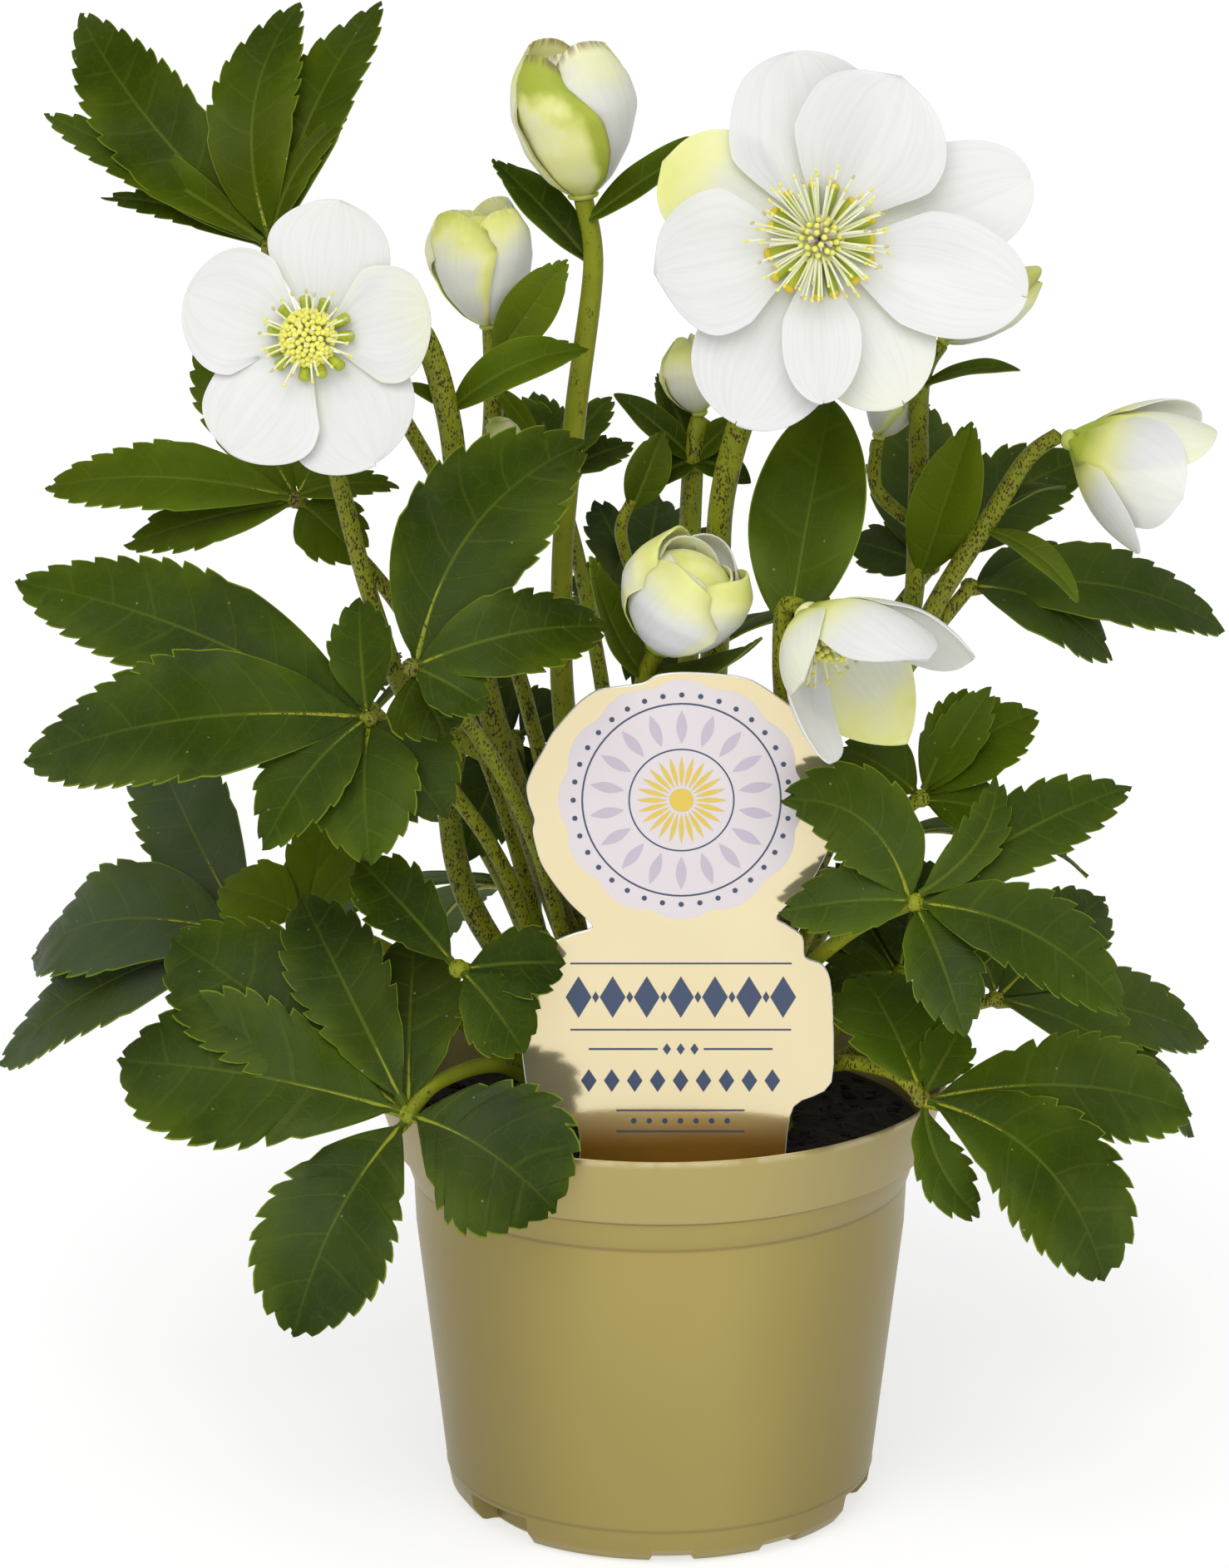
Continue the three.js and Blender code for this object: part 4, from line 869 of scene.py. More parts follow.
def flower_stem(name, foot, path, radii, bracts, shades, branch=None):
    """A stem with its side branch and its bracts, as one piece."""
    rng = random.Random(name)
    form = Form()
    purple, bract_shades = shades

    def lay_stem(points, ends, start):
        line, shares = smooth_path(points, 10)
        size = ends[0] + (ends[1] - ends[0]) * shares
        size = size * (1 + 0.04 * np.sin(TURN * shares * 3 + start))
        brown = np.clip(purple + 0.3 * smooth(-shares, -0.6, -0.1) * (start == 0), 0, 1)
        tint = np.stack([brown, np.zeros(len(shares)), shares], axis=1)
        lay_tube(form, line, size, 16, tint, 1, ribs=0.035, rib_count=4, seed=rng.random())

    lay_stem([*rising(foot), *(vec(*p) for p in path)], radii, 0)
    if branch:
        lay_stem([vec(*p) for p in branch["points"]], branch["radii"], 1)
    for (root, tip, width, arch, face), (tone, flush) in zip(bracts, bract_shades):
        big = width > 14
        teeth = 3 if 8 < width < 20 else 0
        lay_blade(
            form, vec(*root), vec(*tip), unit(face), arch, width, "bract", rng,
            teeth=teeth, depth=0.5 + width * 0.03, tooth_from=0.8, fold=0.3, veins=4,
            quilt=0.25, wave=0.7, curl=0.05 if big else 0.02, cols=7 if big else 5,
            smooth_rows=20, tint=(tone, flush), rib_tint=(0.1, 0.4, 1), rib=0.8,
        )
    return form.piece(f"{name}_stalks", [LEAF_LOOK, STALK_LOOK], "stem_green", name)


# ---------------------------------------------------------------- blooms


def bloom_petals(name, centre, axis, cup, petals, shades):
    rng = random.Random(name)
    form = Form()
    heart, facing = vec(*centre), unit(axis)
    right, up = frame_of(facing)
    broad, fold, wrap, pointed, turn = CLOSING[name]
    ruffle = 0.2 if wrap > 0.9 else 0.5
    for i, (angle, length, width, lift) in enumerate(petals):
        out = around(math.radians(angle + turn), right, up)
        tip = heart + around(lift, out, facing) * length
        face = around(lift, facing, -out)
        root = heart + out * 2 + facing * (-0.7 if i % 2 == 0 else 0.5)
        lay_petal(
            form, root, tip, face, cup, width * broad, rng, heart, facing, fold=fold, wrap=wrap,
            outline="pointed" if i in pointed else "petal", flush=shades[i], ruffle=ruffle,
        )
    boss = 4.0 - 1.6 * wrap, 1.8 + 0.4 * wrap
    lay_ball(form, heart - facing * (0.6 + 0.3 * wrap), boss, facing, (0.5, 0.9, 0), rings=9, sides=20)
    return form.piece(f"{name}_sepals", [PETAL_LOOK], "petal_white", f"{name}_petals")


# Where the heart's materials stand in its list
FILAMENT, ANTHER, NECTARY, LIP, STYLE, SPENT = range(6)


def lay_stamens(form, boss, facing, right, up, spec, rng):
    """Threads in a golden-angle spiral. Those in the core are young: short, upright under a dome."""
    core, (dome_width, dome_height) = spec["core"], spec["dome"]
    t = np.linspace(0, 1, 6)[:, None]
    for i in range(spec["shown"]):
        share = math.sqrt((i + 0.5) / spec["shown"])
        young = share < core
        out = around(math.radians(GOLDEN_ANGLE * i) + rng.uniform(-0.1, 0.1), right, up)
        base = boss + facing * 1.9 + out * spec["reach"] * share * 0.85
        if young:
            lean = math.radians(86) * share / core
            tip = boss + facing * (1.6 + dome_height * math.cos(lean)) + out * dome_width * math.sin(lean)
            tip = tip + facing * rng.uniform(-0.5, 0.3)
        else:
            lean = math.radians(spec["spread"]) * (0.62 + 0.38 * (share - core) / (1 - core))
            lean += rng.uniform(-0.09, 0.09)
            tip = base + around(lean, facing, out) * spec["length"] * rng.uniform(0.78, 1.0)
        run = unit(tip - base)
        swing = (facing * 0.16 + up * rng.uniform(-0.07, 0.07)) * np.linalg.norm(tip - base)
        line = base * (1 - t) + tip * t + swing * 2 * t * (1 - t)
        thick = 0.2 if young else 0.33
        radii = np.linspace(thick, thick * 0.6, 6)
        lay_tube(form, line, radii, 6, (rng.random(), 0, 0), FILAMENT, seed=rng.random())
        droop = unit(run + out * rng.uniform(-0.4, 0.9) + up * rng.uniform(-0.5, 0.5))
        size = (0.68, 0.74) if young else (0.36, 0.62)
        slot = ANTHER if young or rng.random() > 0.25 else SPENT
        lay_ball(form, line[-1] + run * 0.2, size, droop, (rng.random(), 0, 0), slot, rings=6, sides=8)


def lay_nectaries(form, boss, facing, right, up, spec, rng):
    """A ring of small trumpets round the stamens, with coloured lips once the bloom is ripe."""
    count = spec["nectaries"]
    t = np.linspace(0, 1, 7)
    for i in range(count):
        out = around(TURN * (i + rng.uniform(-0.2, 0.2)) / count, right, up)
        lean = math.radians(spec["nectary_lean"]) + rng.uniform(-0.06, 0.06)
        run = around(lean, facing, out)
        base = boss + facing * 0.3 + out * (spec["reach"] + 0.2)
        size = spec["nectary"] * rng.uniform(0.85, 1.05)
        line = base + run * (size * t)[:, None]
        radii = 0.45 + 0.75 * smooth(t, 0, 0.8)
        lay_tube(form, line, radii, 9, (rng.random(), 0, 0), NECTARY, seed=rng.random())
        lip = LIP if spec["ripe"] else NECTARY
        lay_ball(form, line[-1] + run * 0.1, (1.3, 0.85), run, (rng.random(), 0, 0), lip, rings=6, sides=10)


def lay_styles(form, boss, facing, right, up, spec, rng):
    """The pistil's styles, which stand up in the middle and lean out at their tips."""
    t = np.linspace(0, 1, 6)[:, None]
    for i in range(spec["styles"]):
        out = around(TURN * i / spec["styles"] + rng.uniform(0.2, 0.6), right, up)
        rise = 0.2 + spec["dome"][1]
        line = boss + out * 0.6 + facing * (2 + rise * t) + (out * 2.1 + facing * 0.2) * t**3
        slot = STYLE if spec["ripe"] else FILAMENT
        lay_tube(form, line, np.linspace(0.42, 0.3, 6), 7, (rng.random(), 0, 0), slot, seed=rng.random())


def bloom_heart(name, centre, axis, spec):
    rng = random.Random(name + "heart")
    form = Form()
    facing = unit(axis)
    right, up = frame_of(facing)
    boss = vec(*centre) + facing * (1.2 + GAP)
    size = spec["reach"] + 0.5, 1.5
    lay_ball(form, boss + facing * 1.2, size, facing, (0.4, 0, 0), NECTARY, rings=9, sides=18)
    for lay_part in (lay_stamens, lay_nectaries, lay_styles):
        lay_part(form, boss, facing, right, up, spec, rng)
    looks = [FILAMENT_LOOK, ANTHER_LOOK, NECTARY_LOOK, LIP_LOOK, STYLE_LOOK, SPENT_LOOK]
    return form.piece(f"{name}_heart", looks, "stamen_yellow", f"{name}_stamens")


# ---------------------------------------------------------------- buds


# A bud's radius by its height, up to where it draws in to its mouth, both as shares
BUD_LEVELS = [0, 0.04, 0.1, 0.32, 0.58, 0.82, 1]
BUD_RADII = [0.12, 0.28, 0.48, 0.84, 1]


def bud_profile(h, mouth):
    profile = np.interp(h, BUD_LEVELS, [*BUD_RADII, min(1, 0.62 + mouth / 2), mouth * 1.08])
    profile[1:-1] = (profile[:-2] + 2 * profile[1:-1] + profile[2:]) / 4
    return profile[:, None]


def bud(name, base, tip, width, petals, mouth, shades):
    """Petals wrapped round each other: each starts under its neighbour and ends over the next."""
    rng = random.Random(name)
    form = Form()
    turn, wind, edge, greens, wash, inside = shades
    run = vec(*tip) - vec(*base)
    height = np.linalg.norm(run)
    facing = run / height
    right, up = frame_of(facing)
    foot = vec(*base) + facing * GAP
    h = np.linspace(0, 1, 22)[:, None] ** 0.9
    share = np.linspace(0, 1, 15)
    profile = bud_profile(h[:, 0], mouth)
    for whorl, (scale, count) in enumerate(((1.0, petals), (0.8, max(2, petals - 1)))):
        for i in range(count):
            start = TURN * (i + 0.5 * whorl) / count + turn
            angle = start + TURN / count * (share * 1.5 - 0.1) + wind * h
            dip = 0.05 * (i % 2) + 0.06 * whorl + 0.26 * np.abs(2 * share - 1) ** 2.4
            level = h * (1 - dip * smooth(h, 0.3, 1))
            reach = width / 2 * scale * profile * (0.87 + 0.17 * share)
            reach = reach * (1 + 0.02 * ripple(h, 1.2, rng.random()))
            frill = ripple(share, rng.uniform(1.2, 1.8), rng.random()) * smooth(h, 0.45, 1)
            reach = reach * (1 + 0.07 * frill)
            out = around(angle, right, up)
            middle = foot + facing * (level * height)[..., None] + out * reach[..., None]
            across = np.broadcast_to(2 * share - 1, reach.shape)
            along = np.broadcast_to(h, reach.shape)
            thickness = BUD_THICKNESS * (1 - 0.4 * np.abs(across) ** 6) * np.minimum(1, reach / 8)
            spot = (across * width / 20, along * height / 10, np.full(reach.shape, rng.random()))
            tint = (greens[i], wash * greens[i], edge) if whorl == 0 else (inside * 0.6, inside, edge)
            lay_plate(form, middle, out, thickness, (across, along), spot, tint)
    core, base_boss = (width * (0.2 + 0.3 * mouth), height * 0.34), (width * 0.13, 1.2)
    lay_ball(form, foot + facing * height * 0.56, core, facing, (0.2, 0.5, 0), rings=11, sides=20)
    lay_ball(form, foot + facing * height * 0.02, base_boss, facing, (0.6, 1, 0), sides=14)
    return form.piece(f"{name}_petals", [PETAL_LOOK], "petal_white", name)


# ---------------------------------------------------------------- looks


class Look:
    """A procedural material, its nodes written as expressions. Constants go on the sockets themselves."""

    def __init__(self, name, **settings):
        self.material = bpy.data.materials.new(name)
        self.material.use_nodes = True
        self.tree = self.material.node_tree
        self.shader = self.tree.nodes["Principled BSDF"]
        self.set(**settings)

    def set(self, **settings):
        for title, value in settings.items():
            self.feed(self.shader.inputs[title.replace("_", " ")], value)

    def feed(self, socket, value):
        if isinstance(value, bpy.types.NodeSocket):
            self.tree.links.new(value, socket)
        elif socket.type == "RGBA" and len(value) == 3:
            socket.default_value = (*value, 1)
        else:
            socket.default_value = value

    def node(self, kind, *inputs, **settings):
        node = self.tree.nodes.new(f"ShaderNode{kind}")
        for title, value in settings.items():
            setattr(node, title, value)
        for socket, value in zip(node.inputs, inputs):
            if value is not None:
                self.feed(socket, value)
        return node

    def attribute(self, name):
        return self.node("Attribute", attribute_name=name).outputs["Vector"]

    def split(self, vector):
        return self.node("SeparateXYZ", vector).outputs[:]

    def join(self, x, y, z):
        return self.node("CombineXYZ", x, y, z).outputs[0]

    def place(self):
        return self.node("TexCoord").outputs["Object"]

    def math(self, operation, a, b=0.0, c=0.0, clamp=False):
        return self.node("Math", a, b, c, operation=operation, use_clamp=clamp).outputs[0]

    def times(self, *values):
        product = values[0]
        for value in values[1:]:
            product = self.math("MULTIPLY", product, value)
        return product

    def plus(self, *values, clamp=False):
        total = values[0]
        for value in values[1:]:
            total = self.math("ADD", total, value, clamp=clamp)
        return total

    def line(self, value, slope, start):
        """start, and value times slope more."""
        return self.math("MULTIPLY_ADD", value, slope, start)

    def unsigned(self, value):
        """The value without its sign."""
        return self.math("ABSOLUTE", value)

    def spots(self, value, inside, outside):
        """1 where value is below inside, 0 where it is above outside, eased between."""
        return self.ease(value, inside, outside, 1, 0)

    def ease(self, value, low, high, start=0.0, end=1.0):
        """start where value is below low, end where it is above high, eased between."""
        node = self.node("MapRange", value, low, high, start, end, interpolation_type="SMOOTHSTEP")
        return node.outputs["Result"]

    def mix(self, share, a, b):
        node = self.node("Mix", data_type="RGBA", clamp_factor=True)
        for index, value in ((0, share), (6, a), (7, b)):
            self.feed(node.inputs[index], value)
        return node.outputs[2]

    def coats(self, colour, *coats):
        """The colour under further ones, each laid over it with its own share."""
        for share, other in coats:
            colour = self.mix(share, colour, other)
        return colour

    def noise(self, vector, scale, detail=3.0, roughness=0.5):
        node = self.node("TexNoise", vector)
        for title, value in (("Scale", scale), ("Detail", detail), ("Roughness", roughness)):
            node.inputs[title].default_value = value
        return node.outputs["Fac"]

    def cells(self, vector, scale, feature="F1", output="Distance"):
        node = self.node("TexVoronoi", vector, feature=feature)
        node.inputs["Scale"].default_value = scale
        return node.outputs[output]

    def stretch(self, vector, x, y, z):
        node = self.node("Mapping", vector)
        node.inputs["Scale"].default_value = (x, y, z)
        return node.outputs[0]

    def bump(self, height, depth, strength=1.0):
        """Relief of that depth in millimetres where the height runs from 0 to 1."""
        node = self.node("Bump")
        node.inputs["Strength"].default_value = strength
        node.inputs["Distance"].default_value = depth * MM
        self.feed(node.inputs["Height"], height)
        self.set(Normal=node.outputs[0])


def leaf_look():
    look = Look("hellebore_leaf")
    across, along, side = look.split(look.attribute("sheet"))
    from_rib, _, _ = look.split(look.attribute("spot"))
    tone, flush, veins = look.split(look.attribute("tint"))
    place = look.place()
    inner = look.unsigned(across)
    # midrib, then side veins that run forward from it, then the fine net between them
    width = look.plus(look.unsigned(from_rib), look.times(along, 0.03))
    midrib = look.times(look.spots(width, 0.03, 0.08), look.ease(along, 0.5, 0.95, 1, 0.3))
    wobble = look.times(look.plus(look.noise(place, 90), -0.5), 0.22)
    half_step = look.times(look.math("GREATER_THAN", across, 0.0), 0.5)
    phase = look.plus(look.line(along, veins, half_step), wobble)
    lateral = look.spots(look.math("PINGPONG", phase, 0.5), 0.015, 0.06)
    lateral = look.times(lateral, look.ease(inner, 0.5, 0.95, 1, 0.2), look.spots(along, 0.86, 0.98))
    net = look.spots(look.cells(place, 300, "DISTANCE_TO_EDGE"), 0.015, 0.07)
    # broad clouds of tone; the blade is fresher towards its edge and duller over its middle
    cloud = look.noise(place, 44, 4.0)
    shade = look.plus(look.line(tone, 0.5, 0.5), look.times(look.plus(cloud, -0.5), 1.3), clamp=True)
    yellowish = look.ease(look.noise(place, 28, 2.0), 0.45, 0.75)
    fresh = look.times(look.ease(inner, 0.4, 1.0), look.ease(cloud, 0.35, 0.65))
    # painted sheen: where flush is below 0, soft blue-green patches stand in for the blade's sheen
    painted_sheen = look.times(flush, -1.0, look.ease(look.noise(place, 38, 3.0), 0.3, 0.65, 0.35, 1))
    fleck = look.spots(look.cells(place, 170), 0.03, 0.055)
    below = look.math("LESS_THAN", side, 0.0)
    green = look.coats(
        look.mix(shade, LEAF_DARK, LEAF_LIGHT),
        (look.times(yellowish, 0.35), LEAF_OLIVE),
        (look.times(fresh, 0.2), LEAF_FRESH),
        (look.math("MAXIMUM", flush, 0.0), LEAF_FRESH),
        (look.math("MAXIMUM", painted_sheen, 0.0), LEAF_SHEEN_BLUE),
        (look.times(net, 0.05), LEAF_VEIN),
        (look.times(lateral, 0.11), LEAF_VEIN),
        (look.times(midrib, 0.36), LEAF_VEIN),
        (look.times(look.ease(inner, 0.965, 0.995), 0.85), LEAF_RIM),
        (look.times(fleck, 0.3), LEAF_FLECK),
        (look.times(below, 0.65), LEAF_UNDER),
    )
    rough = look.plus(look.times(cloud, 0.22), look.line(below, 0.15, 0.38))
    sheen = look.ease(look.noise(place, 33, 2.0), 0.4, 0.65, 0.02, 0.1)
    look.set(Base_Color=green, Roughness=rough, Specular_IOR_Level=sheen)
    sunk = look.plus(look.times(midrib, -0.9), look.times(lateral, -0.4), look.times(net, -0.22))
    look.bump(look.plus(sunk, look.times(look.noise(place, 900, 2.0), 0.12)), 0.25, 0.8)
    return look.material


def stalk_look():
    look = Look("hellebore_stalk")
    purple, tone, _ = look.split(look.attribute("tint"))
    place = look.place()
    cloud = look.noise(place, 120, 3.0)
    flow = look.noise(look.stretch(place, 1, 1, 0.35), 700, 3.0, 0.6)
    patch = look.noise(look.stretch(place, 1, 1, 0.6), 420, 3.0)
    # purple speckles that crowd together in patches, and a wash of purple where it is strongest
    grain = look.plus(look.cells(look.stretch(place, 1, 1, 0.55), 1900), look.times(flow, 1.1))
    drive = look.plus(look.times(purple, 0.5), patch)
    speckle = look.times(look.spots(grain, 0.8, 1.02), look.ease(drive, 0.56, 0.78))
    wash = look.ease(look.plus(purple, look.times(cloud, 0.5)), 1.05, 1.5)
    colour = look.coats(
        look.mix(look.plus(look.times(tone, 0.4), cloud, clamp=True), STALK_DARK, STALK_LIGHT),
        (look.times(wash, 0.8), STALK_PURPLE),
        (look.times(speckle, 0.95), STALK_SPECKLE),
    )
    look.set(Base_Color=colour, Roughness=look.line(cloud, 0.2, 0.36), Specular_IOR_Level=0.2)
    look.bump(look.plus(flow, speckle), 0.12, 0.6)
    return look.material


def petal_look():
    look = Look("hellebore_sepal", Roughness=0.5, Specular_IOR_Level=0.25)
    look.set(Subsurface_Weight=0.45, Subsurface_Radius=(1.0, 1.0, 0.7), Subsurface_Scale=3 * MM)
    across, along, side = look.split(look.attribute("sheet"))
    tip_flush, all_flush, edge = look.split(look.attribute("tint"))
    _, _, seed = look.split(look.attribute("spot"))
    place = look.place()
    fan = look.join(look.times(across, 9.0), look.times(along, 1.1), look.times(seed, 40))
    streaks = look.noise(fan, 1.6, 3.0)
    cloud = look.noise(place, 70, 3.0)
    inner = look.unsigned(across)
    # green comes in from the tip and the rim, over the whole, out of the claw and up the under side
    tipward = look.ease(look.plus(along, look.times(cloud, 0.35)), 0.62, 1.15)
    rimward = look.ease(look.plus(inner, look.times(cloud, 0.3)), 0.75, 1.2)
    reach = look.math("MAXIMUM", tipward, look.times(rimward, 0.8))
    claw = look.spots(along, 0.0, 0.2)
    below = look.math("LESS_THAN", side, 0.0)
    flush = look.plus(
        look.times(tip_flush, reach),
        look.times(all_flush, look.ease(cloud, 0.2, 0.7, 0.35, 1)),
        look.times(claw, 0.35),
        look.times(below, look.ease(along, 0.05, 0.72, 0.8, 0.0)),
        clamp=True,
    )
    brink = look.ease(look.math("MAXIMUM", inner, along), 0.93, 0.995)
    colour = look.coats(
        look.mix(look.ease(streaks, 0.38, 0.72), PETAL_WHITE, PETAL_SHADE),
        (look.ease(flush, 0.0, 0.7), PETAL_CREAM),
        (look.ease(flush, 0.45, 1.0), PETAL_GREEN),
        (look.times(edge, brink, look.ease(streaks, 0.3, 0.6)), PETAL_EDGE),
    )
    look.set(Base_Color=colour)
    look.bump(look.plus(streaks, look.times(look.noise(place, 700, 2.0), 0.3)), 0.04, 0.4)
    return look.material


def grain_look(name, light, dark, scale, rough, depth=0.1, **settings):
    """Two tones that vary from one small part to the next and over each."""
    look = Look(name, Roughness=rough, **settings)
    own, _, _ = look.split(look.attribute("tint"))
    place = look.place()
    grain = look.noise(place, scale, 3.0)
    share = look.plus(look.times(own, 0.6), look.times(grain, 0.5), clamp=True)
    look.set(Base_Color=look.mix(share, light, dark))
    look.bump(grain, depth)
    return look.material


def pot_look():
    look = Look("gold_nursery_plastic", Metallic=0.5, Specular_IOR_Level=0.3)
    place = look.place()
    x, y, z = look.split(place)
    cloud = look.noise(place, 14, 3.0)
    # painted shade: its colour is darkened towards its sides and its foot, where less light reaches it
    radius = look.math("SQRT", look.plus(look.times(x, x), look.times(y, y)))
    beside = look.ease(look.math("DIVIDE", look.unsigned(x), radius), 0.2, 0.95)
    painted_falloff_shade = look.times(look.ease(z, -0.01, 0.1, 0.78, 1.0), look.line(beside, -0.28, 1.0))
    colour = look.mix(painted_falloff_shade, (0, 0, 0), look.mix(cloud, POT_DEEP, POT_GOLD))
    # painted shade darkens the two grooves under the rim and the one above the foot
    for level, depth in POT_GROOVE_SHADES:
        off = look.unsigned(look.plus(z, -level))
        colour = look.mix(look.ease(off, 0.0001, 0.0007, depth, 0.0), colour, POT_DIRT_AND_SHADE)
    lip = look.ease(z, 0.0842, 0.0846, 0.0, 0.14)
    worn = look.times(look.ease(z, 0.0982, 0.0998), look.ease(look.noise(place, 130, 4.0), 0.38, 0.6))
    speck = look.spots(look.cells(place, 48), 0.008, 0.016)
    colour = look.coats(
        colour, (lip, POT_PALE), (look.times(worn, 0.6), POT_PALE), (look.times(speck, 0.5), POT_DIRT_AND_SHADE)
    )
    look.set(Base_Color=colour, Roughness=look.line(cloud, 0.1, 0.34))
    fine, broad = look.noise(place, 420, 3.0), look.noise(place, 45, 2.0)
    look.bump(look.plus(look.times(fine, 0.3), look.times(broad, 0.7)), 0.12, 0.5)
    return look.material


def peat_look():
    look = Look("damp_peat", Roughness=0.92)
    place = look.place()
    coarse, fine = look.noise(place, 160, 5.0, 0.65), look.noise(place, 900, 4.0, 0.7)
    colour = look.mix(look.ease(coarse, 0.35, 0.7), PEAT_DARK, PEAT_BROWN)
    fibre = look.ease(look.noise(look.stretch(place, 1, 5, 1), 500, 2.0), 0.66, 0.72)
    look.set(Base_Color=look.mix(look.times(fibre, 0.6), colour, PEAT_FIBRE))
    look.bump(look.plus(coarse, fine), 0.9)
    return look.material


def card_look():
    look = Look("gold_foil_card", Metallic=0.8)
    place = look.place()
    drift = look.noise(place, 22, 2.0)
    _, _, z = look.split(place)
    # painted reflection: below the leaves, the card's colour turns orange-gold
    painted_reflection = look.spots(look.line(drift, 0.006, z), 0.1, 0.1085)
    colour = look.mix(painted_reflection, look.mix(drift, CARD_DEEP, CARD_GOLD), CARD_REFLECTION_AMBER)
    look.set(Base_Color=colour, Roughness=look.line(drift, 0.05, 0.1))
    look.bump(look.plus(look.times(drift, 2.0), look.times(look.noise(place, 1500, 2.0), 0.05)), 0.25, 0.5)
    return look.material


def floor_look():
    look = Look("pale_floor", Roughness=0.9, Specular_IOR_Level=0.1)
    look.set(Emission_Color=(1, 1, 1), Emission_Strength=0.64)
    look.set(Base_Color=look.mix(look.noise(look.place(), 1.5, 2.0), FLOOR_DEEP, FLOOR_PALE))
    return look.material


# ---------------------------------------------------------------- pot and soil


def near_heading(angle, headings, half_turn):
    """1 inside the sectors about the headings, 0 outside, with a steep side between."""
    gaps = [abs((angle - heading + 180) % 360 - 180) for heading in headings]
    return 1 - float(smooth(min(gaps), half_turn - CUT_SIDE, half_turn + CUT_SIDE))


def headings_round(count):
    """Angles round the pot, closer together at the sides of the notches and recesses in its foot."""
    angles = set(np.round(np.arange(count) * 360 / count - 180, 3))
    for cut in (NOTCH, RECESS):
        for heading in cut["angles"]:
            for side in (-1, 1):
                for step in np.linspace(-CUT_SIDE, CUT_SIDE, 4):
                    angles.add(round((heading + side * (cut["half_turn"] + step) + 180) % 360 - 180, 3))
    return sorted(angles)


def lay_lathe(form, angles, section):
    """A closed body of revolution whose section may change with its heading; flat at its two ends."""
    rows = np.array([section(angle) for angle in angles])
    out = circle(np.radians(angles))[:, None] * rows[..., :1]
    points = np.concatenate([out, rows[..., 1:]], axis=-1)
    grid = np.arange(rows[..., 0].size).reshape(rows.shape[:2])
    form.add(points, [*hoops(grid.T), grid[::-1, 0][None], grid[:, -1][None]])


def blended(plain, cut, share):
    """The rows of points between two others."""
    plain, cut = np.array(plain, dtype=float), np.array(cut)
    return (plain + (cut - plain) * share).tolist()


# The pot's wall as radius and height: up its outside, over the rim and down its inside
POT_WALL = [
    (48.85, 7.6), (49.1, 8.1), (49.05, 8.7), (52.2, 36.5), (55.6, 66), (56.05, 76.7), (56.15, 77.2),
    (56.55, 77.6), (58.3, 83.1), (58.45, 83.6), (58.8, 83.9), (59.8, 84.15), (60.15, 84.45), (60.35, 85.1),
    (62.5, 91.6), (64.7, 98.3), (64.95, 99.3), (64.8, 99.8), (64.4, 100), (64.0, 99.95), (63.75, 99.5),
    (61.4, 92), (58.9, 84.6), (55, 77), (51.1, 33.6), (47.7, 9.4),
]


def pot_section(angle):
    """The pot's wall at one heading, with the feet of its outside and inside as the heading has them."""
    notch = near_heading(angle, NOTCH["angles"], NOTCH["half_turn"])
    rise = RECESS["height"] * near_heading(angle, RECESS["angles"], RECESS["half_turn"])
    inner, top = NOTCH["inner"], NOTCH["height"]
    foot = blended(
        [(40, 0), (42.6, rise * 0.2), (44.7, rise), (45.8, rise + 0.35), (48.1, 3.4), (48.75, 7.1)],
        [(40, 0), (inner - 0.7, 0), (inner, 0.8), (inner, top - 0.8), (inner + 0.7, top), (48.75, 7.1)],
        notch,
    )
    roof, back = top + WALL, inner - WALL
    inside = blended(
        [(47.3, 6.2), (46.4, 3.2), (45.2, FLOOR), (42, FLOOR), (39, FLOOR)],
        [(46.6, roof), (inner - 0.9, roof), (back, top + 0.7), (back, 2.6), (39, FLOOR)],
        notch,
    )
    return [*foot, *POT_WALL, *inside]


def make_pot():
    form = Form()
    lay_lathe(form, headings_round(192), pot_section)
    return form.piece("pot_shell", [POT_LOOK], "gold_plastic", "pot", crease=38)


def lay_crumb(form, centre, size, rng):
    """An uneven lump with twenty faces."""
    golden = (1 + math.sqrt(5)) / 2
    corners = np.array([
        [-1, golden, 0], [1, golden, 0], [-1, -golden, 0], [1, -golden, 0], [0, -1, golden], [0, 1, golden],
        [0, -1, -golden], [0, 1, -golden], [golden, 0, -1], [golden, 0, 1], [-golden, 0, -1], [-golden, 0, 1],
    ]) / math.hypot(1, golden)
    faces = np.array([
        [0, 11, 5], [0, 5, 1], [0, 1, 7], [0, 7, 10], [0, 10, 11], [1, 5, 9], [5, 11, 4], [11, 10, 2],
        [10, 7, 6], [7, 1, 8], [3, 9, 4], [3, 4, 2], [3, 2, 6], [3, 6, 8], [3, 8, 9], [4, 9, 5], [2, 4, 11],
        [6, 2, 10], [8, 6, 7], [9, 8, 1],
    ])
    shape = corners * np.array([rng.uniform(0.6, 1.25) for _ in corners])[:, None]
    shape = shape * [rng.uniform(0.7, 1.2), rng.uniform(0.7, 1.2), rng.uniform(0.45, 0.8)]
    form.add(centre + shape * size, [faces], tint=(rng.random(), 0, 0))


def soil_height(x, y):
    """The peat's top: soft lumps that die out at the pot's wall."""
    calm = 1 - float(smooth(math.hypot(x, y), 50, 57.5))
    place = Vector((x, y, 0))
    lumps = sum(noise.noise(place * scale) * size for scale, size in ((0.11, 1.3), (0.35, 0.9), (0.9, 0.35)))
    return SOIL_TOP + calm * lumps


def soil_section(angle):
    """The peat's outside at one heading, then its top from the pot's wall to the middle."""
    low = FLOOR + GAP
    foot = blended(
        [(38, low), (42, low), (45, low), (46.6, 5.4), (47.2, 9.2)],
        [(38, low), (40.7, 2.8), (40.7, 8.3), (46.2, 8.3), (47.2, 9.2)],
        near_heading(angle, NOTCH["angles"], NOTCH["half_turn"]),
    )
    x, y = circle(math.radians(angle))
    top = [(r, soil_height(r * x, r * y)) for r in (57.6, *np.linspace(56, 1.2, 46))]
    return [*foot, (54.2, 77), (57.8, 84.5), (58.8, 87.6), *top]


